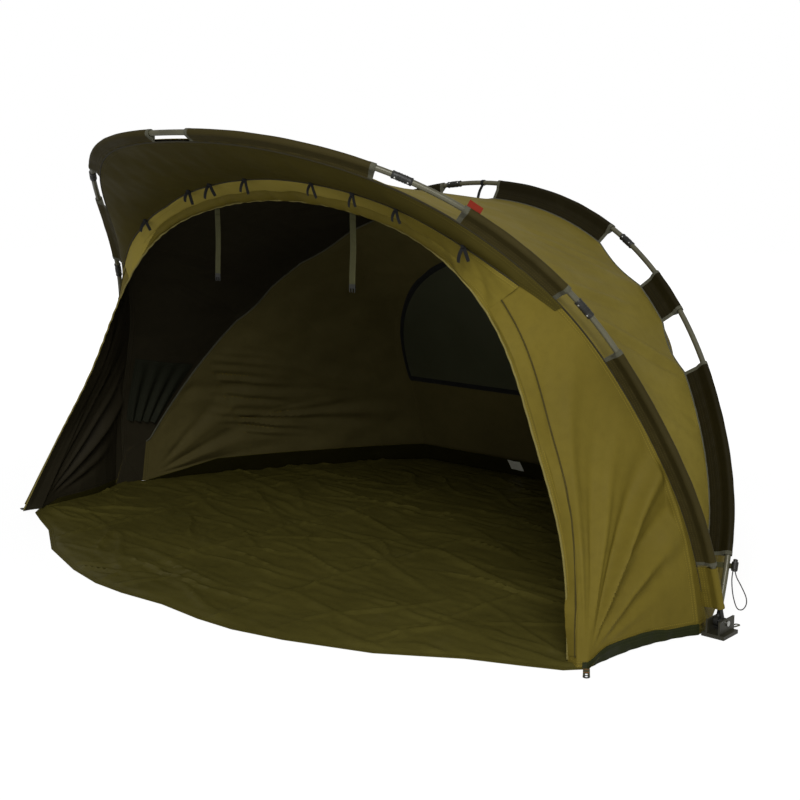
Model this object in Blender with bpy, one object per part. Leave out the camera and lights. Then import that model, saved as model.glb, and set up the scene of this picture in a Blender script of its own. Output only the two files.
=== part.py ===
"""Bivvy tent: an open-fronted shelter hung below two sectional tube arches.

Metres, +Z up, +X to the right of someone looking in at the doorway, +Y towards the back.
The origin is on the ground, midway between the two pivot blocks.
An angle along an arch runs from 0 at the right foot, over 90 at the crown, to 180 at the left foot.
"""

import math

import bpy
import numpy as np

# Overall sizes
HALF_SPAN = 1.296
PIVOT_HEIGHT = 0.035
FRONT_HEIGHT = 1.306
FRONT_DEPTH = 0.749
REAR_HEIGHT = 1.158
REAR_DEPTH = 0.631
DOOR_HALF_WIDTH = 1.115
DOOR_HEIGHT_SHARE = 0.8568
DOOR_HEIGHT = FRONT_HEIGHT * DOOR_HEIGHT_SHARE
DOOR_FOOT_DEPTH = 0.438
DOOR_TOP_DEPTH = 0.336
BACK_DEPTH = 1.120
BACK_HALF_WIDTH = 0.660
APRON_DEPTH = 0.825

# Tubes, joints and feet
TUBE_RADIUS = 0.008
TUBE_WALL = 0.0012
COLLAR_RADIUS = 0.0112
COLLAR_HALF_LENGTH = 0.028
COLLAR_CHAMFER = 0.003
SPIGOT_LENGTH = 0.040
SPIGOT_CLEARANCE = 0.0003
TUBE_SIDES = 8
FOOT_EYE_RADIUS = 0.013
FOOT_EYE_WIDTH = 0.0124
FOOT_NECK_RADIUS = 0.0056
FOOT_LENGTH = 0.045
FOOT_SPACING = 0.0164

# Pivot blocks and pins
PIN_RADIUS = 0.004
PIN_CLEARANCE = 0.0001
PIN_HEAD_RADIUS = 0.0075
PIN_HEAD_WIDTH = 0.003
PIN_SIDES = 16
CHEEK_THICKNESS = 0.005
CHEEK_GAP = 0.0014
BLOCK_LENGTH = 0.078
BLOCK_BASE_THICKNESS = 0.010
BLOCK_BASE_MARGIN = 0.012
CHEEK_TOP_ABOVE_PIN = 0.012

# Cloth
CLOTH_THICKNESS = 0.0014
SEAM_GAP = 0.0009
WEB_GAP = 0.0016
HEM_GAP = 0.0005
SLEEVE_BORE_RADIUS = 0.0095
SLEEVE_ARC_POINTS = 7
SLEEVE_POCKET_WALL = 0.0012
FRONT_WEB = 0.050
FRONT_CROWN_WEB = 0.028
REAR_WEB = 0.062
REAR_CROWN_WEB = 0.060
ROOF_STEP = 0.008
ROOF_SAG = 0.030
ROOF_START_HEIGHT = 0.085
WING_FOLD_DEPTH = 0.010
WING_FOLDS = 5
WING_FOOT_EASE = 1.7
WING_FOOT_END_ANGLE = 33.0
WING_FOLD_RISE_ANGLE = 9.0
REAR_BELLY = 0.020

# Window
WINDOW_HALF_WIDTH = 0.610
WINDOW_SILL_HEIGHT = 0.370
WINDOW_TOP_HEIGHT = 0.900
WINDOW_ROUNDNESS = 0.9
WINDOW_ROWS = 14
WALL_TURNS = (42.0, 50.0)

# Groundsheet
SHEET_THICKNESS = 0.0015
LIP_HEIGHT = 0.078
LIP_LEAN = 0.058
LIP_RISE_RUN = 0.300
SIDE_LIP_HEIGHT = 0.024
SHEET_EDGE = 0.008
FOLD_INSET = 0.005
FLOOR_RING_SHARES = (0.72, 0.40, 0.0)

# Small fittings
STRAP_LENGTH = 0.225
STRAP_WIDTH = 0.024
STRAP_THICKNESS = 0.002
STRAP_TIP_LENGTH = 0.022
STRAP_HANG_GAP = 0.0036
STRAP_AXIS_DROP = 0.002
LOOP_WIDTH = 0.018
LOOP_LENGTH = 0.060
LOOP_THICKNESS = 0.002
LOOP_HOLE_RADIUS = 0.0055
LOOP_REST = 0.0006
LOOP_CORNER_SHARE = 0.25
LOOP_SIDE_SLOPE = 1.4
POCKET_SEWN_GAP = 0.0026
POCKET_PLEAT = 0.014
POCKET_PLEATS = 4
POCKET_EDGE_SHARES = (0.10, 0.90)
POCKET_FULLNESS_EASE = 0.5
POCKET_THICKNESS = 0.0025
LOCK_RADIUS = 0.009
LOCK_LENGTH = 0.024
LOCK_NOSE_SHARE = 0.8
LOCK_NOSE_HEIGHT = 0.0027
BUTTON_RADIUS = 0.0062
BUTTON_LENGTH = 0.008
BUTTON_CLEARANCE = 0.0004
BUTTON_CHAMFER = 0.0012
LOCK_WELL_DEPTH = 0.014
LOCK_ASIDE = 0.023
LOCK_ANGLE = 6.9
SEAT_GAP = 0.0003
CORD_RADIUS = 0.0015
CORD_STEP = 0.008
LOCK_STRAP_WIDTH = 0.015
LOCK_STRAP_THICKNESS = 0.0016
LOCK_STRAP_TURN_SHARE = 0.85
LOCK_STRAP_TAIL_LENGTH = 0.030
LABEL_HEIGHT = 0.0180
LABEL_TURN = 0.7
LABEL_LEAN_SHARE = 0.8
LABEL_THICKNESS = 0.0012
TAG_X = -0.169
TAG_LENGTH = 0.060
TAG_THICKNESS = 0.0012
TAG_SHARES = (0.40, 0.93)

# Where things come along the arches, in degrees
FINE_STEP = 3.0
FRONT_JOINTS = (42.0, 63.0, 117.0, 138.0)
REAR_JOINTS = (60.0, 95.5, 120.0)
FRONT_SLEEVES = {"lower_right": (8.0, 36.0), "upper_right": (44.5, 57.0), "crown_right": (65.5, 87.0),
                 "crown_left": (93.0, 114.5), "upper_left": (123.0, 135.5), "lower_left": (144.0, 172.0)}
REAR_SLEEVES = {"lower_right": (9.0, 36.0), "short_right": (45.0, 52.5), "crown_right": (63.5, 87.0),
                "crown_left": (97.5, 116.5), "short_left": (127.5, 135.0), "lower_left": (144.0, 171.0)}
BAND_END = 48.0
STRAP_ANGLE = 75.0
ROOF_STEP_START = 60.0
ROOF_STEP_RUN = 15.0
POCKET_SPAN = (154.5, 167.5)

# Where the peg loops lie on the ground
CORNER_START = (0.9051, 1.0137)
CORNER_HEADING = (0.55, -0.83)
BLOCK_TAB_SHIFT = -0.008
BLOCK_TAB_GAP = 0.0021
BLOCK_HEADING = (0.2, 0.98)
LABEL_ANGLE = 56.2

# Shapes of the arches as shares of the sizes above, one row every 15 degrees from foot to crown:
# across (of the half span), forwards or backwards (of the reach) and up (of the height above the pivot).
FRONT_SHARES = ((1.0, 0.0, 0.0), (0.955, 0.059, 0.231), (0.849, 0.136, 0.467), (0.723, 0.315, 0.689),
                (0.542, 0.641, 0.879), (0.285, 0.924, 0.979), (0.0, 1.0, 1.0))
REAR_SHARES = ((1.0, 0.0, 0.0), (0.956, 0.252, 0.229), (0.850, 0.482, 0.466), (0.697, 0.686, 0.675),
               (0.500, 0.851, 0.846), (0.262, 0.962, 0.959), (0.0, 1.0, 1.0))
DOOR_SHARES = ((1.0, 1.0, 0.0), (0.937, 0.343, 0.243), (0.832, -0.01, 0.472), (0.712, -0.147, 0.710),
               (0.511, -0.10, 0.890), (0.258, -0.03, 0.975), (0.0, 0.0, 1.0))
# Where the visor meets the band, as a share of the way from the door's edge to the arch, by angle.
VISOR_ANGLES = (48.0, 60.0, 70.0, 80.0, 90.0)
VISOR_SHARES = (0.70, 0.58, 0.50, 0.42, 0.38)
# Right half of the wall's foot behind the block: share of the way from the span to the back's half width,
# and share of the way from the block to the back.
BASE_SHARES = ((0.10, 0.06), (0.27, 0.30), (0.50, 0.56), (0.73, 0.79), (0.90, 0.93), (1.0, 1.0))
FOOT_ROWS = 2 * len(BASE_SHARES) - 1
# Right wing's foot from the doorway to the block: share of the half span, and of the door foot's reach.
WING_FOOT_SHARES = ((0.860, 1.0), (0.887, 1.03), (0.901, 0.99), (0.904, 0.82), (0.9105, 0.594),
                    (0.924, 0.41), (0.941, 0.263), (0.957, 0.16), (0.969, 0.095))
# Front edge of the apron from the middle to the right corner: share of the half span, and of its reach.
APRON_SHARES = ((0.0, 0.985), (0.131, 1.0), (0.232, 0.994), (0.355, 0.952), (0.54, 0.85), (0.694, 0.70),
                (0.80, 0.63), (0.870, 0.58))
# Groundsheet's edge beside the block, from front to back: share of the half span, and of the block's length.
NOTCH_SHARES = ((0.970, -0.20), (0.970, 0.22), (0.960, 0.66))
# The thin cord below its lock, as steps from the lock's foot: across, back and down.
CORD_PATH = ((-0.0035, 0.0, 0.0024), (-0.005, -0.0005, 0.020), (-0.003, -0.0025, 0.040), (0.001, -0.0045, 0.060),
             (0.007, -0.0065, 0.078), (0.014, -0.0085, 0.092), (0.022, -0.0085, 0.100), (0.030, -0.0055, 0.100),
             (0.036, -0.0005, 0.093), (0.038, 0.0035, 0.083), (0.035, 0.0055, 0.067), (0.027, 0.0045, 0.050),
             (0.017, 0.0025, 0.032), (0.007, 0.001, 0.015), (0.0035, 0.0, 0.0024))


def clear_scene():
    for thing in list(bpy.data.objects):
        bpy.data.objects.remove(thing, do_unlink=True)


def material(name, color, roughness, metallic=0.0):
    made = bpy.data.materials.new(name)
    made.use_nodes = True
    shader = made.node_tree.nodes["Principled BSDF"]
    shader.inputs["Base Color"].default_value = (*color, 1.0)
    shader.inputs["Roughness"].default_value = roughness
    shader.inputs["Metallic"].default_value = metallic
    made.diffuse_color = (*color, 1.0)
    return made


def make_object(name, points, faces, finish, smooth=True, bevel=0.0):
    """One named object from a point array and a list of faces, in world places."""
    mesh = bpy.data.meshes.new(name)
    mesh.from_pydata([tuple(map(float, p)) for p in points], [], [tuple(map(int, f)) for f in faces])
    mesh.update()
    if smooth:
        mesh.shade_smooth()
        mesh.set_sharp_from_angle(angle=math.radians(35))
    mesh.materials.append(finish)
    made = bpy.data.objects.new(name, mesh)
    bpy.context.scene.collection.objects.link(made)
    if bevel:
        edge = made.modifiers.new("edge", "BEVEL")
        edge.width = bevel
        edge.segments = 1
        edge.limit_method = "ANGLE"
    return made


def pivot_on(thing, empty):
    """Parents a piece to the empty on its hinge axis, without moving it."""
    thing.parent = empty
    thing.matrix_parent_inverse = empty.matrix_basis.inverted()


def unit(vectors):
    vectors = np.asarray(vectors, float)
    return vectors / np.linalg.norm(vectors, axis=-1, keepdims=True)


def spline(knots, values, at):
    """Natural cubic spline through the values at the knots, read at the given places."""
    knots = np.asarray(knots, float)
    values = np.asarray(values, float)
    at = np.asarray(at, float)
    step = np.diff(knots)
    count = len(knots)
    matrix = np.eye(count)
    right = np.zeros_like(values)
    for i in range(1, count - 1):
        matrix[i, i - 1] = step[i - 1]
        matrix[i, i] = 2 * (step[i - 1] + step[i])
        matrix[i, i + 1] = step[i]
        right[i] = 6 * ((values[i + 1] - values[i]) / step[i] - (values[i] - values[i - 1]) / step[i - 1])
    bend = np.linalg.solve(matrix, right)
    i = np.clip(np.searchsorted(knots, at, side="right") - 1, 0, count - 2)
    h = step[i][:, None]
    a = (knots[i + 1] - at)[:, None] / h
    b = (at - knots[i])[:, None] / h
    return a * values[i] + b * values[i + 1] + ((a**3 - a) * bend[i] + (b**3 - b) * bend[i + 1]) * h**2 / 6


def arch_stations(shares, across, places):
    """Both halves of an arch from its right half: across times the first share, and the places given."""
    right = np.array([(across * share[0], *place) for share, place in zip(shares, places)])
    left = right[-2::-1] * (-1, 1, 1)
    return np.concatenate([right, left])


def read_arch(stations, angles):
    knots = np.linspace(0, 180, len(stations))
    return spline(knots, stations, angles)


def front_stations(half_span):
    rise = FRONT_HEIGHT - PIVOT_HEIGHT
    places = [(-FRONT_DEPTH * s[1], PIVOT_HEIGHT + rise * s[2]) for s in FRONT_SHARES]
    return arch_stations(FRONT_SHARES, half_span, places)


def rear_stations(half_span):
    rise = REAR_HEIGHT - PIVOT_HEIGHT
    places = [(REAR_DEPTH * s[1], PIVOT_HEIGHT + rise * s[2]) for s in REAR_SHARES]
    return arch_stations(REAR_SHARES, half_span, places)


def door_stations():
    spread = DOOR_FOOT_DEPTH - DOOR_TOP_DEPTH
    places = [(-DOOR_TOP_DEPTH - spread * s[1], DOOR_HEIGHT * s[2]) for s in DOOR_SHARES]
    return arch_stations(DOOR_SHARES, DOOR_HALF_WIDTH, places)


FRONT = front_stations(HALF_SPAN + FOOT_SPACING / 2)
REAR = rear_stations(HALF_SPAN - FOOT_SPACING / 2)
DOOR = door_stations()


def frames(stations, angles):
    """Centre, unit tangent, unit inward direction and unit normal of an arch at the angles."""
    angles = np.asarray(angles, float)
    nudge = 0.05
    centre = read_arch(stations, angles)
    tangent = unit(read_arch(stations, np.minimum(angles + nudge, 180.0))
                   - read_arch(stations, np.maximum(angles - nudge, 0.0)))
    inward = np.array([0.0, 0.0, PIVOT_HEIGHT]) - centre
    inward -= (inward * tangent).sum(1)[:, None] * tangent
    inward = unit(inward)
    return centre, tangent, inward, np.cross(tangent, inward)


def steps(start, end, step=FINE_STEP):
    """Angles from start to end that share their inner values with every other piece."""
    inner = np.arange(math.floor(start / step + 1) * step, end - step / 8, step)
    return np.concatenate([[start], inner[inner > start + step / 8], [end]])


def web_width(angles, side, crown):
    """Width of a sleeve's web: the side value up to 45 degrees, easing to the crown value at 90."""
    rise = np.clip((90.0 - np.abs(90.0 - np.asarray(angles, float)) - 45.0) / 45.0, 0.0, 1.0)
    ease = rise * rise * (3 - 2 * rise)
    return side + (crown - side) * ease


def front_web(angles):
    return web_width(angles, FRONT_WEB, FRONT_CROWN_WEB)


def rear_web(angles):
    return web_width(angles, REAR_WEB, REAR_CROWN_WEB)


def ring_faces(rings, around, close_rings):
    """Triangles between rings of points that close around, all split the same way."""
    faces = []
    last = rings if close_rings else rings - 1
    for i in range(last):
        for j in range(around):
            a = i * around + j
            b = i * around + (j + 1) % around
            c = ((i + 1) % rings) * around + (j + 1) % around
            d = ((i + 1) % rings) * around + j
            faces += [(a, b, c), (a, c, d)]
    return faces


def turn_outwards(points, faces):
    """The faces, turned round if they enclose a negative volume."""
    p = np.asarray(points, float)
    f = np.asarray(faces)
    volume = np.einsum("ij,ij->i", p[f[:, 0]], np.cross(p[f[:, 1]], p[f[:, 2]])).sum()
    return [tuple(face[::-1]) for face in faces] if volume < 0 else faces


def solid(name, points, faces, finish, smooth=True, bevel=0.0):
    return make_object(name, points, turn_outwards(points, faces), finish, smooth, bevel)


def round_section(frame, radii, sides):
    """A ring of points round each centre, one radius per centre."""
    centre, _, inward, normal = frame
    turn = np.linspace(0, 2 * math.pi, sides, endpoint=False)
    spread = np.cos(turn)[None, :, None] * inward[:, None] + np.sin(turn)[None, :, None] * normal[:, None]
    return centre[:, None] + np.asarray(radii, float)[:, None, None] * spread


def tube_angles(stations, start, end):
    """Angles along a tube, straight for the length of the spigot in each of its ends."""
    first = start + SPIGOT_LENGTH * degrees_per_metre(stations, start)
    last = end - SPIGOT_LENGTH * degrees_per_metre(stations, end)
    return np.concatenate([[start], steps(first, last), [end]])


def tube(name, stations, start, end, finish):
    """A hollow tube along an arch: outer rings one way, inner rings back."""
    frame = frames(stations, tube_angles(stations, start, end))
    count = len(frame[0])
    outer = round_section(frame, [TUBE_RADIUS] * count, TUBE_SIDES)
    inner = round_section(frame, [TUBE_RADIUS - TUBE_WALL] * count, TUBE_SIDES)
    rings = np.concatenate([outer, inner[::-1]])
    return solid(name, rings.reshape(-1, 3), ring_faces(len(rings), TUBE_SIDES, True), finish)


def rod(stations, angles, radii, sides):
    """Points and faces of a solid round bar along an arch, with a radius at each angle."""
    rings = round_section(frames(stations, angles), radii, sides)
    points = np.concatenate([rings.reshape(-1, 3), [rings[0].mean(0), rings[-1].mean(0)]])
    faces = ring_faces(len(rings), sides, False)
    first, last = len(points) - 2, len(points) - 1
    tail = (len(rings) - 1) * sides
    for j in range(sides):
        k = (j + 1) % sides
        faces += [(first, k, j), (last, tail + j, tail + k)]
    return points, faces


def degrees_per_metre(stations, angle):
    nudge = 0.5
    ends = read_arch(stations, [angle - nudge, angle + nudge])
    return 2 * nudge / np.linalg.norm(ends[1] - ends[0])


def joint(name, stations, angle, finish):
    """A moulded collar between two tubes, with a spigot into each of them."""
    scale = degrees_per_metre(stations, angle)
    spigot = TUBE_RADIUS - TUBE_WALL - SPIGOT_CLEARANCE
    ends = COLLAR_HALF_LENGTH + SPIGOT_LENGTH
    half = (ends, COLLAR_HALF_LENGTH, COLLAR_HALF_LENGTH, COLLAR_HALF_LENGTH - COLLAR_CHAMFER)
    radii = (spigot, spigot, COLLAR_RADIUS - COLLAR_CHAMFER, COLLAR_RADIUS)
    offsets = [-h for h in half] + [h for h in half[::-1]]
    angles = [angle + scale * offset for offset in offsets]
    points, faces = rod(stations, angles, radii + radii[::-1], TUBE_SIDES)
    return solid(name, points, faces, finish)


def tube_ends(stations, joints):
    """Start and end angle of each tube, leaving room for the collars and the feet."""
    foot = FOOT_LENGTH * degrees_per_metre(stations, FINE_STEP)
    spans = []
    start = foot
    for angle in joints:
        collar = (COLLAR_HALF_LENGTH + SPIGOT_CLEARANCE) * degrees_per_metre(stations, angle)
        spans.append((start, angle - collar))
        start = angle + collar
    spans.append((start, 180.0 - foot))
    return spans


def disc_bar(sides, radius, inner, low, high, y, z):
    """A bar along X from low to high, with a bore of the inner radius, or solid where that is zero."""
    turn = np.linspace(0, 2 * math.pi, sides, endpoint=False)
    circle = np.stack([np.zeros(sides), np.cos(turn), np.sin(turn)], -1)
    rings = [(low, radius), (high, radius)]
    if inner:
        rings += [(high, inner), (low, inner)]
    points = [(x, y, z) + circle * r for x, r in rings]
    points = np.array([np.asarray(p) for p in points]).reshape(-1, 3)
    faces = ring_faces(len(rings), sides, bool(inner))
    if not inner:
        points = np.concatenate([points, [(low, y, z), (high, y, z)]])
        for j in range(sides):
            k = (j + 1) % sides
            faces += [(2 * sides, k, j), (2 * sides + 1, sides + j, sides + k)]
    return points, turn_outwards(points, faces)


def add_boolean(thing, other, operation):
    other.hide_render = True
    other.display_type = "WIRE"
    cut = thing.modifiers.new(operation.lower(), "BOOLEAN")
    cut.operation = operation
    cut.solver = "EXACT"
    cut.object = other


def foot(name, stations, left, finish):
    """A pole foot: a bored eye on the pin, a neck, and a spigot up into the leg tube."""
    end = stations[-1 if left else 0]
    half = FOOT_EYE_WIDTH / 2
    eye = disc_bar(PIN_SIDES, FOOT_EYE_RADIUS, PIN_RADIUS + PIN_CLEARANCE,
                   end[0] - half, end[0] + half, 0.0, PIVOT_HEIGHT)
    made = solid(name, *eye, finish)
    scale = degrees_per_metre(stations, FINE_STEP)
    spigot = TUBE_RADIUS - TUBE_WALL - SPIGOT_CLEARANCE
    root = PIN_RADIUS + PIN_CLEARANCE + (FOOT_EYE_RADIUS - PIN_RADIUS) / 2
    below = FOOT_LENGTH - SPIGOT_CLEARANCE
    distances = (root, below, below, FOOT_LENGTH + SPIGOT_LENGTH)
    angles = np.array(distances) * scale
    if left:
        angles = 180.0 - angles
    shank = rod(stations, angles, (FOOT_NECK_RADIUS, FOOT_NECK_RADIUS, spigot, spigot), TUBE_SIDES)
    add_boolean(made, solid(name + "_shank", *shank, finish), "UNION")
    return made


def block_inner_half():
    """Half the clear width between a block's cheeks."""
    return FOOT_SPACING / 2 + FOOT_EYE_WIDTH / 2 + CHEEK_GAP


def block(name, side, finish):
    """A channel with two cheeks and a wide base, standing on the ground, bored for the pin."""
    inner = block_inner_half()
    outer = inner + CHEEK_THICKNESS
    base = outer + BLOCK_BASE_MARGIN
    top = PIVOT_HEIGHT + CHEEK_TOP_ABOVE_PIN
    profile = [(-base, 0.0), (base, 0.0), (base, BLOCK_BASE_THICKNESS), (outer, BLOCK_BASE_THICKNESS),
               (outer, top), (inner, top), (inner, BLOCK_BASE_THICKNESS), (-inner, BLOCK_BASE_THICKNESS),
               (-inner, top), (-outer, top), (-outer, BLOCK_BASE_THICKNESS), (-base, BLOCK_BASE_THICKNESS)]
    centre = side * HALF_SPAN
    ends = (-BLOCK_LENGTH / 2, BLOCK_LENGTH / 2)
    points = [(centre + x, y, z) for y in ends for x, z in profile]
    count = len(profile)
    faces = [(i, (i + 1) % count, count + (i + 1) % count, count + i) for i in range(count)]
    faces += [tuple(range(count))[::-1], tuple(range(count, 2 * count))]
    made = make_object(name, points, [face[::-1] for face in faces], finish, smooth=False)
    bore = disc_bar(PIN_SIDES, PIN_RADIUS + PIN_CLEARANCE, 0.0,
                    centre - outer - CHEEK_THICKNESS, centre + outer + CHEEK_THICKNESS, 0.0, PIVOT_HEIGHT)
    add_boolean(made, solid(name + "_bore", *bore, finish), "DIFFERENCE")
    return made


def pin(name, side, finish):
    """A headed hinge pin through both cheeks and both feet."""
    outer = block_inner_half() + CHEEK_THICKNESS + CHEEK_GAP
    offsets = (-outer - PIN_HEAD_WIDTH, -outer, -outer, outer, outer, outer + PIN_HEAD_WIDTH)
    radii = (PIN_HEAD_RADIUS, PIN_HEAD_RADIUS, PIN_RADIUS, PIN_RADIUS, PIN_HEAD_RADIUS, PIN_HEAD_RADIUS)
    turn = np.linspace(0, 2 * math.pi, PIN_SIDES, endpoint=False)
    circle = np.stack([np.zeros(PIN_SIDES), np.cos(turn), np.sin(turn)], -1)
    middle = np.array([side * HALF_SPAN, 0.0, PIVOT_HEIGHT])
    rings = np.array([middle + (x, 0, 0) + circle * r for x, r in zip(offsets, radii)])
    points = np.concatenate([rings.reshape(-1, 3), [rings[0].mean(0), rings[-1].mean(0)]])
    faces = ring_faces(len(rings), PIN_SIDES, False)
    tail = (len(rings) - 1) * PIN_SIDES
    for j in range(PIN_SIDES):
        k = (j + 1) % PIN_SIDES
        faces += [(len(points) - 2, k, j), (len(points) - 1, tail + j, tail + k)]
    return solid(name, points, faces, finish)


def sleeve(name, stations, span, width_of, finish):
    """A pocket round the tube with a flat web that runs inwards to the seam."""
    angles = steps(*span)
    centre, _, inward, normal = frames(stations, angles)
    pocket = SLEEVE_BORE_RADIUS + SLEEVE_POCKET_WALL
    half = CLOTH_THICKNESS / 2
    mouth = math.asin(half / pocket)
    arc = np.linspace(mouth, 2 * math.pi - mouth, SLEEVE_ARC_POINTS)
    turn = np.concatenate([arc, [-mouth / 2, mouth / 2]])
    outer, inner = [], []
    for i, width in enumerate(width_of(angles)):
        flat = [(pocket * math.cos(a), pocket * math.sin(a)) for a in arc] + [(width, -half), (width, half)]
        bore = [(SLEEVE_BORE_RADIUS * math.cos(a), SLEEVE_BORE_RADIUS * math.sin(a)) for a in turn]
        outer.append([centre[i] + u * inward[i] + v * normal[i] for u, v in flat])
        inner.append([centre[i] + u * inward[i] + v * normal[i] for u, v in bore])
    rings = np.array(outer + inner[::-1])
    return solid(name, rings.reshape(-1, 3), ring_faces(len(rings), len(turn), True), finish)


def grid_normals(grid):
    """Unit normals of a grid of points."""
    return unit(np.cross(np.gradient(grid, axis=0), np.gradient(grid, axis=1)))


def joined_patches(patches):
    """Points and triangles of grids that share edges, with their shared points made one."""
    points = np.concatenate([grid.reshape(-1, 3) for grid in patches])
    faces = []
    start = 0
    for grid in patches:
        rows, columns = grid.shape[:2]
        corner = (np.arange(rows - 1)[:, None] * columns + np.arange(columns - 1)).ravel() + start
        beside, over = corner + 1, corner + columns
        faces += [np.stack([corner, beside, over + 1], -1), np.stack([corner, over + 1, over], -1)]
        start += rows * columns
    _, first, place = np.unique(np.round(points, 6), axis=0, return_index=True, return_inverse=True)
    faces = place.ravel()[np.concatenate(faces)]
    whole = (faces[:, 0] != faces[:, 1]) & (faces[:, 1] != faces[:, 2]) & (faces[:, 0] != faces[:, 2])
    return points[first], faces[whole]


def cloth(name, patches, thickness, finish):
    """A panel of even thickness about the patches' surface, closed along every free edge."""
    points, faces = joined_patches(patches)
    corners = points[faces]
    flat = np.cross(corners[:, 1] - corners[:, 0], corners[:, 2] - corners[:, 0])
    normals = np.zeros_like(points)
    for i in range(3):
        np.add.at(normals, faces[:, i], flat)
    offset = unit(normals) * thickness / 2
    count = len(points)
    edges = [(int(face[i]), int(face[(i + 1) % 3])) for face in faces for i in range(3)]
    inner = set(edges)
    walls = []
    for a, b in edges:
        if (b, a) not in inner:
            walls += [(b, a, a + count), (b, a + count, b + count)]
    under = [tuple(face[::-1] + count) for face in faces]
    return solid(name, np.concatenate([points + offset, points - offset]),
                 [tuple(face) for face in faces] + under + walls, finish)


def front_seam(angles, beyond):
    """Line along the front arch at the end of its web, or the given distance past it."""
    centre, _, inward, _ = frames(FRONT, angles)
    return centre + inward * (front_web(angles) + beyond)[:, None]


def roof_edges(angles):
    """The roof's front and rear edges, each against its web's inner face."""
    centre, _, inward, normal = frames(FRONT, angles)
    facing = np.sign(normal[:, 1])[:, None] * normal
    off = CLOTH_THICKNESS / 2 + SEAM_GAP
    rise = 90.0 - np.abs(90.0 - np.asarray(angles, float))
    step = ROOF_STEP * np.clip((rise - ROOF_STEP_START) / ROOF_STEP_RUN, 0.0, 1.0)
    front = centre + inward * (front_web(angles) - step)[:, None] + facing * off
    centre, _, inward, normal = frames(REAR, angles)
    facing = -np.sign(normal[:, 1])[:, None] * normal
    rear = centre + inward * rear_web(angles)[:, None] + facing * off
    return front, rear, inward


def roof_points(angles, share):
    """Points on the roof by angle and by share of the way from front to rear, hollowed as taut cloth is."""
    front, rear, inward = roof_edges(angles)
    width = np.linalg.norm(rear - front, axis=1)
    lift = ROOF_SAG * 4 * share * (1 - share) * (width / (FRONT_DEPTH + REAR_DEPTH))[:, None]
    flat = front[:, None] * (1 - share)[..., None] + rear[:, None] * share[..., None]
    return flat + inward[:, None] * lift[..., None]


def roof(name, half, finish):
    """The front or the rear half of the roof cloth, with a seam's gap between them."""
    angles = steps(*ROOF_SPAN)
    front, rear, _ = roof_edges(angles)
    inset = SEAM_GAP / 2 / np.linalg.norm(rear - front, axis=1)[:, None]
    if half == "front":
        share = (0.5 - inset) * np.linspace(0, 1, 4)[None, :]
    else:
        share = 0.5 + inset + (0.5 - inset) * np.linspace(0, 1, 4)[None, :]
    return cloth(name, [roof_points(angles, share)], CLOTH_THICKNESS, finish)


def angle_at_height(stations, height):
    """The angle on the right leg where an arch reaches a height."""
    angles = np.linspace(0, 60, 601)
    return float(np.interp(height, read_arch(stations, angles)[:, 2], angles))


ROOF_START = angle_at_height(FRONT, ROOF_START_HEIGHT)
ROOF_SPAN = (ROOF_START, 180.0 - ROOF_START)


def door_edge(angles):
    return read_arch(DOOR, angles)


def visor_share(angles):
    """Where the visor's lower edge lies between the door's edge and the front seam."""
    rising = 90.0 - np.abs(90.0 - np.asarray(angles, float))
    return np.interp(rising, VISOR_ANGLES, VISOR_SHARES)


def front_sheet(angles, shares):
    """The front face between the door's edge, at share 0, and the front arch's seam, at share 1."""
    door = door_edge(angles)
    seam = front_seam(angles, WEB_GAP)
    return door[:, None] * (1 - shares)[..., None] + seam[:, None] * shares[..., None]


def visor(name, finish):
    angles = steps(BAND_END + SEAM_TURN, 180.0 - BAND_END - SEAM_TURN)
    low = visor_share(angles) + SEAM_GAP / 2 / front_width(angles)
    shares = low[:, None] + (1.0 - low)[:, None] * np.linspace(0, 1, 4)[None, :]
    return cloth(name, [front_sheet(angles, shares)], CLOTH_THICKNESS, finish)


def band(name, finish):
    angles = steps(BAND_END + SEAM_TURN, 180.0 - BAND_END - SEAM_TURN)
    high = visor_share(angles) - SEAM_GAP / 2 / front_width(angles)
    shares = high[:, None] * np.linspace(0, 1, 4)[None, :]
    return cloth(name, [front_sheet(angles, shares)], CLOTH_THICKNESS, finish)


def front_width(angles):
    return np.linalg.norm(front_seam(angles, 0.0) - door_edge(angles), axis=1)


SEAM_TURN = math.degrees(SEAM_GAP / 2 / DOOR_HEIGHT)


def hem_height(raised):
    """Lower edge of a hem that stands just above the groundsheet, or just above its side lip."""
    return HEM_GAP + (SHEET_THICKNESS / 2 + SIDE_LIP_HEIGHT if raised else SHEET_THICKNESS)


def wing_foot():
    """Plan points of the right wing's foot, and whether each stands on the groundsheet's side lip."""
    places = [(HALF_SPAN * a, -DOOR_FOOT_DEPTH * b) for a, b in WING_FOOT_SHARES]
    return np.array(places), np.arange(len(places)) > 2


def wing(name, side, finish):
    """A side wall from the doorway's edge to the front arch, with folds that spread from its front corner."""
    angles = np.concatenate([[0.0], steps(FINE_STEP, BAND_END - SEAM_TURN)])
    plan, raised = wing_foot()
    foot_row = np.column_stack([plan, [hem_height(r) for r in raised]])
    shares = np.tile(np.linspace(0, 1, len(plan)), (len(angles), 1))
    grid = front_sheet(angles, shares)
    low = np.clip(1 - angles / WING_FOOT_END_ANGLE, 0, 1)[:, None]
    grid = grid + (foot_row - grid[0])[None] * (low**WING_FOOT_EASE)[..., None]
    rising = low * np.clip(angles / WING_FOLD_RISE_ANGLE, 0, 1)[:, None]
    spread = np.sin(WING_FOLDS * math.pi * shares) * np.sin(math.pi * shares) * rising
    grid = grid + WING_FOLD_DEPTH * spread[..., None] * grid_normals(grid)
    return cloth(name, [grid * (side, 1, 1)], CLOTH_THICKNESS, finish)


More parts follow.
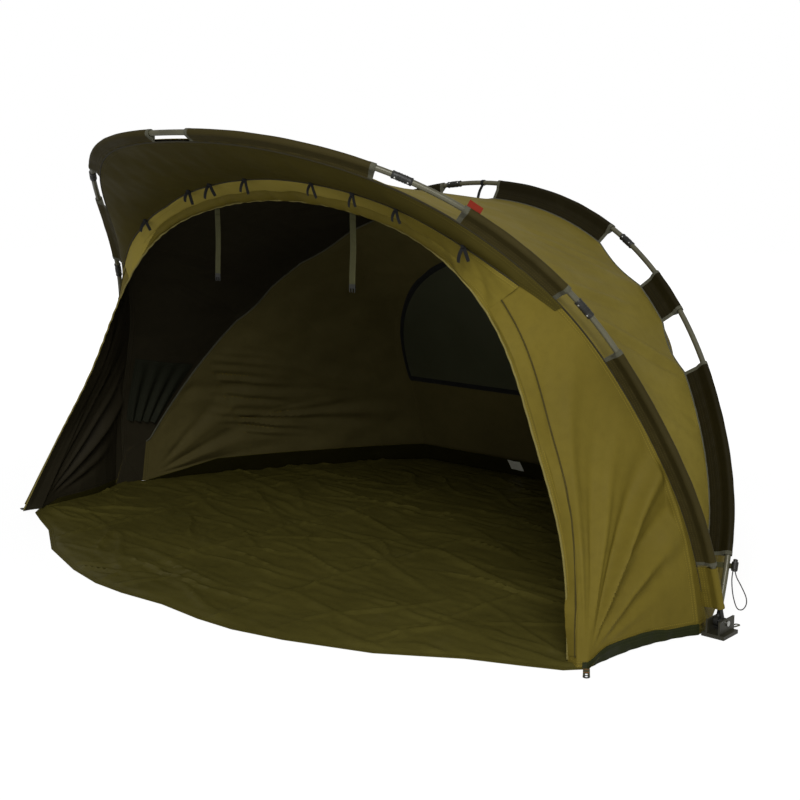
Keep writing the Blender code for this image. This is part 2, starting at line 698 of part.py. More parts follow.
def base_line():
    """Right half of the wall's foot, from the block to the middle of the back, with a point between each two."""
    narrow = HALF_SPAN - BACK_HALF_WIDTH
    places = [(HALF_SPAN - narrow * a, BACK_DEPTH * b) for a, b in BASE_SHARES]
    places = np.array(places + [(BACK_HALF_WIDTH / 2, BACK_DEPTH), (0.0, BACK_DEPTH)])
    line = np.empty((2 * len(places) - 1, 2))
    line[0::2] = places
    line[1::2] = (places[1:] + places[:-1]) / 2
    return line


def window_arch(count, shrink=0.0):
    """The window's arched edge on the rear wall, from its right sill corner over to its left one."""
    turn = np.linspace(0, math.pi, count)
    rise = WINDOW_TOP_HEIGHT - WINDOW_SILL_HEIGHT - 2 * shrink
    across = (WINDOW_HALF_WIDTH - shrink) * np.cos(turn)
    up = WINDOW_SILL_HEIGHT + shrink + rise * np.sin(turn) ** WINDOW_ROUNDNESS
    return np.stack([across, rear_wall_depth(up), up], -1)


def rear_wall_depth(up):
    """How far back the flat middle of the rear wall is at a height."""
    centre, _, inward, _ = frames(REAR, [90.0])
    top = centre[0] + inward[0] * (REAR_CROWN_WEB + WEB_GAP)
    return BACK_DEPTH + (top[1] - BACK_DEPTH) * np.asarray(up) / top[2]


def panel_half_width(up):
    """Half width of the flat panel below the window, from the foot's corner to the sill's corner."""
    low = hem_height(False)
    share = (up - low) / (WINDOW_SILL_HEIGHT - low)
    return BACK_HALF_WIDTH + (WINDOW_HALF_WIDTH - BACK_HALF_WIDTH) * share


def rear_wall_inner(edge_heights):
    """Inner line of the rear wall's right side: along the foot, up the back panel's edge, over the window."""
    foot = np.column_stack([base_line()[:FOOT_ROWS], np.full(FOOT_ROWS, hem_height(False))])
    edge = np.stack([panel_half_width(edge_heights), rear_wall_depth(edge_heights), edge_heights], -1)
    over = window_arch(2 * WINDOW_ROWS + 1)[1 : WINDOW_ROWS + 1]
    return np.concatenate([foot, edge, over])


def rear_wall(name, finish):
    """The rear wall: two sides that rise to the arch and a flat panel below the window's sill."""
    heights = np.linspace(hem_height(False), WINDOW_SILL_HEIGHT, 4)
    inner = rear_wall_inner(heights[1:])
    start = angle_at_height(REAR, ROOF_START_HEIGHT)
    turns = (start, *WALL_TURNS, 90.0)
    rows = (0, FOOT_ROWS - 1, FOOT_ROWS + len(heights) - 2, len(inner) - 1)
    angles = np.interp(np.arange(len(inner)), rows, turns)
    centre, _, inward, _ = frames(REAR, angles)
    seam = centre + inward * (rear_web(angles) + WEB_GAP)[:, None]
    shares = np.linspace(0, 1, 6)[None, :, None]
    side = inner[:, None] * (1 - shares) + seam[:, None] * shares
    away = unit(side - (0.0, BACK_DEPTH / 3, REAR_HEIGHT / 3))
    fullness = np.sin(math.pi * shares) * np.sin(np.linspace(0, math.pi, len(inner)))[:, None, None]
    side = side + away * REAR_BELLY * fullness
    across = np.linspace(-1, 1, 7)[None, :] * panel_half_width(heights)[:, None]
    level = np.tile(heights[:, None], (1, 7))
    panel = np.stack([across, rear_wall_depth(level), level], -1)
    mirrored = side[::-1] * (-1, 1, 1)
    return cloth(name, [side, mirrored, panel], CLOTH_THICKNESS, finish)


def window_mesh(name, finish):
    """The mesh that fills the window, a seam's gap inside its edge."""
    arch = window_arch(29, SEAM_GAP)
    sill = arch.copy()
    sill[:, 2] = arch[0, 2]
    sill[:, 1] = rear_wall_depth(sill[:, 2])
    shares = np.linspace(0, 1, 4)[None, :, None]
    return cloth(name, [arch[:, None] * (1 - shares) + sill[:, None] * shares], CLOTH_THICKNESS, finish)


def sheet_outline():
    """Groundsheet's fold line all the way round from the front middle, with each point's lip lean and height."""
    apron = [(HALF_SPAN * a, -APRON_DEPTH * b, -SHEET_EDGE, 0.0) for a, b in APRON_SHARES]
    plan, raised = wing_foot()
    side = [(x, y, 0.0 if up else -SHEET_EDGE, SIDE_LIP_HEIGHT * up) for (x, y), up in zip(plan[2:], raised[2:])]
    notch = [(HALF_SPAN * a, BLOCK_LENGTH * b, -SHEET_EDGE / 4, 0.0) for a, b in NOTCH_SHARES]
    line = base_line()
    run = np.concatenate([[0], np.cumsum(np.linalg.norm(np.diff(line, axis=0), axis=1))])
    rise = np.clip(run / LIP_RISE_RUN, 0, 1)
    middle = np.array([0.0, BACK_DEPTH / 3])
    inset = line + unit(middle - line) * FOLD_INSET
    lean = np.where(rise > 0, LIP_LEAN * rise, -SHEET_EDGE / 4)
    back = [(x, y, a, LIP_HEIGHT * b) for (x, y), a, b in zip(inset, lean, rise)]
    right = np.array(apron + side + notch + back)
    left = right[-2:0:-1] * (-1, 1, 1, 1)
    return np.concatenate([right, left])


def groundsheet(name, finish):
    """The floor, an apron in front of the doorway, and lips that stand under the wings and inside the rear wall."""
    outline = sheet_outline()
    fold = np.column_stack([outline[:, :2], np.full(len(outline), SHEET_THICKNESS / 2)])
    upward = np.array([0.0, 0.0, 1.0])
    after = unit(np.cross(upward, np.roll(fold, -1, axis=0) - fold))
    before = np.roll(after, 1, axis=0)
    inwards = (before + after) / (1 + (before * after).sum(1))[:, None]
    fold, inwards, outline = (np.concatenate([rows, rows[:1]]) for rows in (fold, inwards, outline))
    top = fold + inwards * outline[:, 2:3] + upward * outline[:, 3:4]
    hub = np.array([0.0, 0.0, SHEET_THICKNESS / 2])
    layers = [top, fold] + [hub + (fold - hub) * share for share in FLOOR_RING_SHARES]
    return cloth(name, [np.stack(layers, axis=1)], SHEET_THICKNESS, finish)


def box(name, low, high, finish, bevel=0.0):
    corners = [(x, y, z) for z in (low[2], high[2]) for y in (low[1], high[1]) for x in (low[0], high[0])]
    faces = [(0, 2, 3, 1), (4, 5, 7, 6), (0, 1, 5, 4), (2, 6, 7, 3), (0, 4, 6, 2), (1, 3, 7, 5)]
    return make_object(name, corners, faces, finish, smooth=False, bevel=bevel)


def strap_anchor(side):
    """Middle of a rod strap's sewn top, just under the door's edge."""
    point = door_edge([90.0 - side * (90.0 - STRAP_ANGLE)])[0]
    return point - (0.0, 0.0, STRAP_HANG_GAP)


def rod_strap(name, side, finish):
    x, y, top = strap_anchor(side)
    low = top - STRAP_LENGTH + STRAP_TIP_LENGTH
    return box(name, (x - STRAP_WIDTH / 2, y - STRAP_THICKNESS / 2, low),
               (x + STRAP_WIDTH / 2, y + STRAP_THICKNESS / 2, top), finish)


def rod_strap_end(name, side, finish):
    """The moulded end below the webbing, thicker than the webbing."""
    x, y, top = strap_anchor(side)
    high = top - STRAP_LENGTH + STRAP_TIP_LENGTH - BUTTON_CLEARANCE
    return box(name, (x - STRAP_WIDTH / 2, y - STRAP_THICKNESS, high - STRAP_TIP_LENGTH),
               (x + STRAP_WIDTH / 2, y + STRAP_THICKNESS, high), finish, STRAP_THICKNESS / 3)


def peg_loop(name, start, heading, finish):
    """A flat webbing tab with an eyelet, lying on the ground from a point in a direction."""
    heading = unit(np.append(heading, 0.0))
    across = np.array([-heading[1], heading[0], 0.0])
    centre = np.append(start, 0.0) + heading * (LOOP_LENGTH - LOOP_WIDTH / 2)
    sides = 16
    turn = np.linspace(0, 2 * math.pi, sides, endpoint=False) + math.pi / sides
    back = np.cos(turn) < 0
    along = np.where(back, -(LOOP_LENGTH - LOOP_WIDTH / 2), np.cos(turn) * LOOP_WIDTH / 2)
    squared = np.clip(np.abs(np.sin(turn)) * LOOP_SIDE_SLOPE, LOOP_CORNER_SHARE, 1)
    wide = np.where(back, np.sign(np.sin(turn)) * squared, np.sin(turn))
    edge = centre + along[:, None] * heading + (wide * LOOP_WIDTH / 2)[:, None] * across
    hole = centre + LOOP_HOLE_RADIUS * (np.cos(turn)[:, None] * heading + np.sin(turn)[:, None] * across)
    low = np.array([0.0, 0.0, LOOP_REST])
    high = low + (0.0, 0.0, LOOP_THICKNESS)
    points = np.concatenate([edge + high, edge + low, hole + low, hole + high])
    return solid(name, points, ring_faces(4, sides, True), finish)


def pocket(name, finish):
    """A pleated pocket inside the left wall, sewn flat along its top and between its pleats."""
    angles = np.linspace(*POCKET_SPAN, 5)
    columns = 4 * POCKET_PLEATS + 1
    across = np.linspace(0, 1, columns)
    share = np.tile(np.interp(across, (0, 1), POCKET_EDGE_SHARES), (len(angles), 1))
    _, _, inward = roof_edges(angles)
    fullness = np.linspace(0, 1, len(angles)) ** POCKET_FULLNESS_EASE
    depth = POCKET_PLEAT * np.sin(math.pi * POCKET_PLEATS * across)[None, :] ** 2 * fullness[:, None]
    grid = roof_points(angles, share) + inward[:, None] * (POCKET_SEWN_GAP + depth)[..., None]
    return cloth(name, [grid], POCKET_THICKNESS, finish)


def leg_frame():
    """Point on the right rear leg beside the cord lock, with its outward, backward and upward directions there."""
    centre, tangent, inward, _ = frames(REAR, [LOCK_ANGLE])
    outward = -inward[0]
    behind = np.cross(tangent[0], outward)
    return centre[0], np.stack([outward, behind, tangent[0]])


def by_leg(points):
    """World places of points given outwards, backwards and upwards from the leg."""
    centre, directions = leg_frame()
    return centre + np.asarray(points, float) @ directions


def turned(name, profile, sides, finish):
    """A piece turned about the cord lock's axis, from a profile of radius and height that starts and ends on it."""
    turn = np.linspace(0, 2 * math.pi, sides, endpoint=False)
    circle = np.stack([np.cos(turn), np.sin(turn), np.zeros(sides)], -1)
    rings = [circle * r + (LOCK_ASIDE, 0, z) for r, z in profile]
    ends = [(LOCK_ASIDE, 0, z) for z in (profile[0][1], profile[-1][1])]
    points = by_leg(np.concatenate(rings + [ends]))
    faces = ring_faces(len(rings), sides, False)
    tail = (len(rings) - 1) * sides
    for j in range(sides):
        k = (j + 1) % sides
        faces += [(len(points) - 2, k, j), (len(points) - 1, tail + j, tail + k)]
    return solid(name, points, faces, finish)


def cord_lock(name, finish):
    well = BUTTON_RADIUS + BUTTON_CLEARANCE
    floor = LOCK_LENGTH - LOCK_WELL_DEPTH
    profile = [(LOCK_RADIUS * LOCK_NOSE_SHARE, 0.0), (LOCK_RADIUS, LOCK_NOSE_HEIGHT), (LOCK_RADIUS, LOCK_LENGTH),
               (well, LOCK_LENGTH), (well, floor)]
    return turned(name, profile, 16, finish)


def cord_lock_button(name, finish):
    """The spring button, standing out of its well by as much as it travels and a little more."""
    low = LOCK_LENGTH - LOCK_WELL_DEPTH / 2
    high = LOCK_LENGTH + BUTTON_LENGTH
    profile = [(BUTTON_RADIUS, low), (BUTTON_RADIUS, high - BUTTON_CHAMFER), (BUTTON_RADIUS - BUTTON_CHAMFER, high)]
    return turned(name, profile, 16, finish)


def path_points(path, step):
    """Points spaced by a step along the smooth curve through a path's steps from the lock's foot."""
    knots = by_leg((LOCK_ASIDE, 0, 0)) + np.array(path) * (1, 1, -1)
    run = np.concatenate([[0], np.cumsum(np.linalg.norm(np.diff(knots, axis=0), axis=1))])
    return spline(run, knots, np.linspace(0, run[-1], int(run[-1] / step) + 1))


def cord(name, finish):
    data = bpy.data.curves.new(name, "CURVE")
    data.dimensions = "3D"
    data.bevel_depth = CORD_RADIUS
    data.bevel_resolution = 2
    data.use_fill_caps = True
    data.resolution_u = 1
    data.render_resolution_u = 0
    points = path_points(CORD_PATH, CORD_STEP)
    line = data.splines.new("POLY")
    line.points.add(len(points) - 1)
    for place, point in zip(line.points, points):
        place.co = (*map(float, point), 1.0)
    data.materials.append(finish)
    made = bpy.data.objects.new(name, data)
    bpy.context.scene.collection.objects.link(made)
    return made


def lock_strap(name, finish):
    """Webbing on edge, from the inner side of the rear leg round behind it and behind the cord lock."""
    by_tube = TUBE_RADIUS + SEAT_GAP + LOCK_STRAP_THICKNESS / 2
    by_lock = LOCK_RADIUS + SEAT_GAP + LOCK_STRAP_THICKNESS / 2
    line = np.array([(-LOCK_STRAP_TAIL_LENGTH, 0, 0), (-by_tube, by_tube * LOCK_STRAP_TURN_SHARE, 0), (0, by_tube, 0),
                     (LOCK_ASIDE, by_lock, 0), (LOCK_ASIDE + LOCK_RADIUS / 2, by_lock, 0)])
    high = (0, 0, LOCK_LENGTH)
    low = (0, 0, LOCK_LENGTH - LOCK_STRAP_WIDTH)
    return cloth(name, [by_leg(np.stack([line + low, line + high], axis=1))], LOCK_STRAP_THICKNESS, finish)


def label(name, finish):
    """A small plain tab that stands back from the front sleeve, over the roof."""
    angles = LABEL_ANGLE + LABEL_TURN * np.linspace(-1, 1, 3)
    centre, _, inward, normal = frames(FRONT, angles)
    facing = np.sign(normal[:, 1])[:, None] * normal
    lean = unit(facing - inward * LABEL_LEAN_SHARE)
    start = SLEEVE_BORE_RADIUS + SLEEVE_POCKET_WALL + BUTTON_CLEARANCE
    grid = np.stack([centre + lean * start, centre + lean * (start + LABEL_HEIGHT)], axis=1)
    return cloth(name, [grid], LABEL_THICKNESS, finish)


def floor_tag(name, finish):
    """A small plain tag on the inner face of the groundsheet's rear lip."""
    slope = math.hypot(LIP_LEAN, LIP_HEIGHT)
    facing = np.array([0.0, -LIP_HEIGHT, -LIP_LEAN]) / slope
    along = np.array([0.0, -LIP_LEAN, LIP_HEIGHT]) / slope
    fold = np.array([TAG_X, BACK_DEPTH - FOLD_INSET, SHEET_THICKNESS / 2])
    off = SHEET_THICKNESS / 2 + BUTTON_CLEARANCE * 2 + TAG_THICKNESS / 2
    low, high = [fold + along * slope * share + facing * off for share in TAG_SHARES]
    wide = np.array([TAG_LENGTH / 2, 0.0, 0.0])
    grid = np.array([[low - wide, low + wide], [high - wide, high + wide]])
    return cloth(name, [grid], TAG_THICKNESS, finish)


def hinge_empty(name, place):
    made = bpy.data.objects.new(name, None)
    bpy.context.scene.collection.objects.link(made)
    made.location = place
    return made


def materials():
    """Every material by a short name: colour, roughness and, for metal, how metallic it is."""
    table = {
        "olive": ("olive cloth", (0.160, 0.130, 0.045), 0.75),
        "wall": ("olive wall cloth", (0.100, 0.070, 0.022), 0.75),
        "sleeve": ("dark brown sleeve cloth", (0.022, 0.019, 0.007), 0.8),
        "visor": ("dark visor cloth", (0.030, 0.024, 0.009), 0.8),
        "band": ("light olive band cloth", (0.150, 0.125, 0.035), 0.7),
        "floor": ("groundsheet cloth", (0.045, 0.040, 0.012), 0.6),
        "webbing": ("olive webbing", (0.045, 0.045, 0.017), 0.85),
        "mesh": ("dark window mesh", (0.010, 0.011, 0.006), 0.9),
        "pocket": ("dark pocket cloth", (0.014, 0.013, 0.007), 0.85),
        "tube": ("olive grey tube paint", (0.110, 0.110, 0.085), 0.4, 0.3),
        "plastic": ("black plastic", (0.012, 0.012, 0.011), 0.5),
        "steel": ("bright steel", (0.550, 0.550, 0.530), 0.3, 1.0),
        "cord": ("black cord", (0.010, 0.010, 0.010), 0.8),
        "red": ("red tab cloth", (0.330, 0.040, 0.020), 0.7),
        "white": ("pale tag cloth", (0.300, 0.300, 0.190), 0.7),
    }
    return {key: material(*values) for key, values in table.items()}


def build_poles(finish):
    """Tubes, joints and feet, front arch first; each list is what turns about the pins with its arch."""
    front, rear = [], []
    places = ("leg_right", "side_right", "crown", "side_left", "leg_left")
    for place, (start, end) in zip(places, tube_ends(FRONT, FRONT_JOINTS)):
        front.append(tube("front_tube_" + place, FRONT, start, end, finish["tube"]))
    places = ("leg_right", "upper_right", "upper_left", "leg_left")
    for place, (start, end) in zip(places, tube_ends(REAR, REAR_JOINTS)):
        rear.append(tube("rear_tube_" + place, REAR, start, end, finish["tube"]))
    places = ("lower_right", "upper_right", "upper_left", "lower_left")
    for place, angle in zip(places, FRONT_JOINTS):
        front.append(joint("front_joint_" + place, FRONT, angle, finish["plastic"]))
    for place, angle in zip(("right", "crown", "left"), REAR_JOINTS):
        rear.append(joint("rear_joint_" + place, REAR, angle, finish["plastic"]))
    for hand, left in (("right", False), ("left", True)):
        front.append(foot("front_foot_" + hand, FRONT, left, finish["plastic"]))
        rear.append(foot("rear_foot_" + hand, REAR, left, finish["plastic"]))
    return front, rear


def build_sleeves(arch, stations, spans, width, finish):
    made = []
    for place, span in spans.items():
        made.append(sleeve("%s_sleeve_%s" % (arch, place), stations, span, width, finish["sleeve"]))
    return made


def build_ground(finish):
    """Pieces that stay where they are when the arches fold, with the roof that stretches between the arches."""
    for side, hand in ((1, "right"), (-1, "left")):
        block("pivot_block_" + hand, side, finish["plastic"])
        pin("hinge_pin_" + hand, side, finish["steel"])
        corner = np.array([HALF_SPAN * CORNER_START[0], -DOOR_FOOT_DEPTH * CORNER_START[1]])
        peg_loop("corner_loop_" + hand, corner * (side, 1), np.array(CORNER_HEADING) * (side, 1), finish["webbing"])
        behind = (side * (HALF_SPAN + BLOCK_TAB_SHIFT), BLOCK_LENGTH / 2 + BLOCK_TAB_GAP)
        peg_loop("block_loop_" + hand, behind, np.array(BLOCK_HEADING) * (side, 1), finish["webbing"])
    roof("roof_front", "front", finish["olive"])
    roof("roof_rear", "rear", finish["olive"])
    groundsheet("groundsheet", finish["floor"])
    pocket("wall_pocket", finish["pocket"])
    floor_tag("floor_tag", finish["white"])


def build_front(finish):
    made = build_sleeves("front", FRONT, FRONT_SLEEVES, front_web, finish)
    for side, hand in ((1, "right"), (-1, "left")):
        made.append(wing("wing_" + hand, side, finish["olive"]))
        anchor = strap_anchor(side) - (0, 0, STRAP_AXIS_DROP)
        axis = hinge_empty("rod_strap_axis_" + hand, anchor)
        pivot_on(rod_strap("rod_strap_" + hand, side, finish["webbing"]), axis)
        pivot_on(rod_strap_end("rod_strap_end_" + hand, side, finish["plastic"]), axis)
    made.append(visor("visor", finish["visor"]))
    made.append(band("door_band", finish["band"]))
    made.append(label("arch_label", finish["red"]))
    return made


def build_rear(finish):
    made = build_sleeves("rear", REAR, REAR_SLEEVES, rear_web, finish)
    made.append(rear_wall("rear_wall", finish["wall"]))
    made.append(window_mesh("window_mesh", finish["mesh"]))
    made.append(cord_lock("cord_lock", finish["plastic"]))
    made.append(lock_strap("lock_strap", finish["webbing"]))
    made.append(cord("lock_cord", finish["cord"]))
    axis = hinge_empty("button_axis", by_leg((LOCK_ASIDE, 0, 0)))
    pivot_on(cord_lock_button("cord_lock_button", finish["plastic"]), axis)
    return made


def main():
    clear_scene()
    finish = materials()
    front, rear = build_poles(finish)
    build_ground(finish)
    front_axis = hinge_empty("front_arch_axis", (0.0, 0.0, PIVOT_HEIGHT))
    rear_axis = hinge_empty("rear_arch_axis", (0.0, 0.0, PIVOT_HEIGHT))
    for piece in front + build_front(finish):
        pivot_on(piece, front_axis)
    for piece in rear + build_rear(finish):
        pivot_on(piece, rear_axis)


main()
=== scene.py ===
"""Dresses the bivvy tent's fixed frame: cloth, webbing, trim, poles and their finishes, with the stage round it.

Metres, +Z up, +X to the right seen from the doorway, +Y towards the back wall.
An angle along an arch runs from 0 at the right foot, over 90 at the crown, to 180 at the left foot.
"""

import math

import bpy
import numpy as np
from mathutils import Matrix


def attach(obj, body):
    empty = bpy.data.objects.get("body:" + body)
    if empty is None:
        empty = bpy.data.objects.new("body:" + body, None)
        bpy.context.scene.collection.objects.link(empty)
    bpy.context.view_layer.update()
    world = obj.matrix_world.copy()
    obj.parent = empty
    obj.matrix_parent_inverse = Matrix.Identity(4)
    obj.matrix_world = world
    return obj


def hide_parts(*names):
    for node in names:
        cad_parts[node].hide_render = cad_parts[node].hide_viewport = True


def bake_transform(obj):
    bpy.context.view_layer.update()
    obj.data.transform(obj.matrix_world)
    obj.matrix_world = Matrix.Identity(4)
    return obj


bl_info = {
    "name": "Bivvy Tent Dresser",
    "version": (1, 0, 0),
    "blender": (4, 5, 0),
    "location": "View3D > Sidebar > Bivvy",
    "description": "Builds the cloth, webbing, trim and poles of a bivvy tent round its packed frame",
    "category": "Object",
}

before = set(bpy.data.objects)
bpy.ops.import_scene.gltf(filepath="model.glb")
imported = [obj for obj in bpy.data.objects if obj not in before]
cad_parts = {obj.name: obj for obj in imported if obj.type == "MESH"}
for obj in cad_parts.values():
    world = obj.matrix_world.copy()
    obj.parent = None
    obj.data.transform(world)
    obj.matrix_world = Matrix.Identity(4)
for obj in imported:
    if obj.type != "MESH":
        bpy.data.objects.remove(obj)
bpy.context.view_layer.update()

# The frame's own sizes, in metres, and its places along an arch, in degrees
HALF_SPAN = 1.296
PIVOT_HEIGHT = 0.035
FRONT_HEIGHT, FRONT_DEPTH = 1.306, 0.749
REAR_HEIGHT, REAR_DEPTH = 1.158, 0.631
DOOR_HALF_WIDTH, DOOR_HEIGHT = 1.115, 1.119
DOOR_FOOT_DEPTH, DOOR_TOP_DEPTH = 0.438, 0.336
BACK_DEPTH, BACK_HALF_WIDTH, APRON_DEPTH = 1.120, 0.660, 0.825
FOOT_SPACING = 0.0164
TUBE_RADIUS = 0.008
CLOTH_THICKNESS = 0.0014
SLEEVE_RADIUS = 0.0107
SLEEVE_BORE_RADIUS = 0.0092
FRONT_WEB, FRONT_CROWN_WEB = 0.050, 0.028
REAR_WEB, REAR_CROWN_WEB = 0.062, 0.060
ROOF_STEP, ROOF_SAG = 0.008, 0.030
ROOF_START = 4.25
WINDOW_HALF_WIDTH, WINDOW_SILL, WINDOW_TOP, WINDOW_ROUNDNESS = 0.610, 0.370, 0.900, 0.9
SHEET_THICKNESS = 0.0015
LIP_HEIGHT, LIP_LEAN, LIP_RISE_RUN, SIDE_LIP_HEIGHT = 0.078, 0.058, 0.300, 0.024
SHEET_EDGE, FOLD_INSET, BLOCK_LENGTH = 0.008, 0.005, 0.078
STRAP_LENGTH, STRAP_WIDTH, STRAP_TIP_LENGTH, STRAP_HANG_GAP = 0.225, 0.024, 0.022, 0.0036
LOCK_ANGLE, LOCK_ASIDE, LOCK_RADIUS, LOCK_LENGTH = 6.9, 0.023, 0.009, 0.024
CORD_RADIUS = 0.0015
BAND_END = 48.0
STRAP_ANGLE = 75.0
LABEL_ANGLE = 56.2
LABEL_HEIGHT, LABEL_TURN, LABEL_LEAN_SHARE = 0.018, 0.7, 0.8
FRONT_JOINTS = (42.0, 63.0, 117.0, 138.0)
REAR_JOINTS = (60.0, 95.5, 120.0)
FRONT_SLEEVES = {"lower_right": (8.0, 36.0), "upper_right": (44.5, 57.0), "crown_right": (65.5, 87.0),
                 "crown_left": (93.0, 114.5), "upper_left": (123.0, 135.5), "lower_left": (144.0, 172.0)}
REAR_SLEEVES = {"lower_right": (9.0, 36.0), "short_right": (45.0, 52.5), "crown_right": (63.5, 87.0),
                "crown_left": (97.5, 116.5), "short_left": (127.5, 135.0), "lower_left": (144.0, 171.0)}
FRONT_SHARES = ((1.0, 0.0, 0.0), (0.955, 0.059, 0.231), (0.849, 0.136, 0.467), (0.723, 0.315, 0.689),
                (0.542, 0.641, 0.879), (0.285, 0.924, 0.979), (0.0, 1.0, 1.0))
REAR_SHARES = ((1.0, 0.0, 0.0), (0.956, 0.252, 0.229), (0.850, 0.482, 0.466), (0.697, 0.686, 0.675),
               (0.500, 0.851, 0.846), (0.262, 0.962, 0.959), (0.0, 1.0, 1.0))
DOOR_SHARES = ((1.0, 1.0, 0.0), (0.937, 0.343, 0.243), (0.832, -0.01, 0.472), (0.712, -0.147, 0.710),
               (0.511, -0.10, 0.890), (0.258, -0.03, 0.975), (0.0, 0.0, 1.0))
BASE_SHARES = ((0.10, 0.06), (0.27, 0.30), (0.50, 0.56), (0.73, 0.79), (0.90, 0.93), (1.0, 1.0))
WING_FOOT_SHARES = ((0.860, 1.0), (0.887, 1.03), (0.901, 0.99), (0.904, 0.82), (0.9105, 0.594),
                    (0.924, 0.41), (0.941, 0.263), (0.957, 0.16), (0.969, 0.095))
APRON_SHARES = ((0.0, 0.985), (0.131, 1.0), (0.232, 0.994), (0.355, 0.952), (0.54, 0.85), (0.694, 0.70),
                (0.80, 0.63), (0.870, 0.58))
NOTCH_SHARES = ((0.970, -0.20), (0.970, 0.22), (0.960, 0.66))
CORD_PATH = ((-0.0035, 0.0, 0.0024), (-0.005, -0.0005, 0.020), (-0.003, -0.0025, 0.040), (0.001, -0.0045, 0.060),
             (0.007, -0.0065, 0.078), (0.014, -0.0085, 0.092), (0.022, -0.0085, 0.100), (0.030, -0.0055, 0.100),
             (0.036, -0.0005, 0.093), (0.038, 0.0035, 0.083), (0.035, 0.0055, 0.067), (0.027, 0.0045, 0.050),
             (0.017, 0.0025, 0.032), (0.007, 0.001, 0.015), (0.0035, 0.0, 0.0024))
VISOR_END = 43.5
# Where the dark visor meets the light band, as a share of the way from the doorway's edge to the front seam
VISOR_ANGLES = (43.5, 48.0, 51.0, 55.5, 58.5, 64.5, 67.5, 73.5, 84.0, 90.0, 99.0, 112.5, 121.5, 132.0, 136.5)
VISOR_SHARES = (0.88, 0.75, 0.68, 0.60, 0.57, 0.54, 0.52, 0.48, 0.41, 0.36, 0.30, 0.25, 0.30, 0.48, 0.66)
TIE_ANGLES = (119.0, 104.0, 98.0, 89.0, 76.0, 69.8, 64.0, 55.3)
# A distance past any seam, for faces that no seam crosses
FAR = 9.0
# The centre of the tent's room, from which cloth faces outwards
INSIDE = np.array([0.0, 0.0, 0.4])
# How far the left opening edge's foot is pulled out to its corner, and the power with which that fades upwards
LEFT_PULL = np.array([-0.064, -0.066, 0.0])
PULL_POWER = 1.6
# How near the front leg the rear line comes down, and the angle from which it is itself again
HUG_SHARE, HUG_ANGLE = 0.22, 9.0
# Where the back wall starts on the rear arch; below that a panel closes the corner, its inner face dark with painted
# shade
WALL_START = 8.0
# The line on the ground, front to rear, where the roof's ends come down beside the block
PANEL_FOOT = np.array([[HALF_SPAN * 0.969, -DOOR_FOOT_DEPTH * 0.095, 0.0015], [1.2324, 0.0672, 0.0010]])
# How far the roof's edges lie off the webs, how far the rear seam dips between two sleeves, and a gap over the sheet
EDGE_GAP, SEAM_DIP, SHEET_GAP = 0.0012, 0.016, 0.0005
# The wings' foot is drawn down to its line up to this angle
WING_FOOT_ANGLE = 33.0
# The zip's flap and its line: distance from the doorway's edge, lift off the wing, width and height, and finish
ZIP_PARTS = (("zip_flap", 0.026, 0.0014, (0.036, 0.0018), "wing"),
             ("zip_line", 0.050, 0.0024, (0.0040, 0.0026), "dark_seam"))
# A sleeve's section: where its two sides meet, half the doubled web, and the half angle left open towards the web
SLEEVE_MEET, WEB_HALF, SLEEVE_OPEN = 0.024, 0.0011, 52
REAR_PIPING_RADIUS, DOOR_PIPING_RADIUS, VISOR_PIPING_RADIUS = 0.0036, 0.0028, 0.0024
# The share of the band that is its rolled hem, and how far the hem bulges
HEM_SHARE, HEM_BULGE = 0.40, 0.009
# The hanging pocket: its rows along the arch, its shares across the roof, and the depth of its pleats
POCKET_ANGLES, POCKET_SHARES, PLEAT_DEPTH = (154.5, 167.5), (0.10, 0.80), 0.014
LOOP_LENGTH, LOOP_WIDTH, LOOP_EYE = 0.060, 0.018, 0.0062
# Share of the roof, from front to rear, at which its two pieces meet, and the share up to which its weight for the
# front arch is full, though nothing applies that weight: on the legs and, past the second rise, at the top
SPLIT_SHARES, HELD_SHARES, SPLIT_RISES = (0.50, 0.70), (0.0, 0.25), (35.0, 60.0)

# The stage
CAMERA_PLACE, CAMERA_TILT, CAMERA_TURN, CAMERA_LENS = (2.8888, -3.079, 1.2241), 0.1754, 0.7232, 60.075
# Each lamp: its place, the point it faces, its size and its power
LAMPS = {"key": ((3.5, -3.8, 4.0), (0.1, 0.0, 0.5), 2.6, 220), "side": ((4.8, 0.8, 2.6), (0.6, 0.1, 0.5), 2.6, 6)}
WORLD_LIGHT = 0.42
FLOOR_HALF, FLOOR_GLOW, FLOOR_SHADE, FLOOR_FADE = 14, 1.12, 0.80, (1.7, 3.6)


def unit(vectors):
    """Each vector divided by its own length."""
    vectors = np.asarray(vectors, float)
    return vectors / np.maximum(np.linalg.norm(vectors, axis=-1, keepdims=True), 1e-12)


def spline(knots, values, at):
    """Natural cubic spline through the values at the knots: piecewise cubics with no bend at the two ends."""
    knots, values, at = (np.asarray(a, float) for a in (knots, values, at))
    step = np.diff(knots)
    count = len(knots)
    matrix = np.eye(count)
    right = np.zeros_like(values)
    row = np.arange(1, count - 1)
    matrix[row, row - 1] = step[:-1]
    matrix[row, row] = 2 * (step[:-1] + step[1:])
    matrix[row, row + 1] = step[1:]
    slope = np.diff(values, axis=0) / step[:, None]
    right[1:-1] = 6 * np.diff(slope, axis=0)
    bend = np.linalg.solve(matrix, right)
    i = np.clip(np.searchsorted(knots, at, side="right") - 1, 0, count - 2)
    h = step[i][:, None]
    a = (knots[i + 1] - at)[:, None] / h
    b = (at - knots[i])[:, None] / h
    return a * values[i] + b * values[i + 1] + ((a**3 - a) * bend[i] + (b**3 - b) * bend[i + 1]) * h**2 / 6


def both_halves(right):
    """The right half's stations followed by their mirror images."""
    return np.concatenate([right, right[-2::-1] * (-1, 1, 1)])


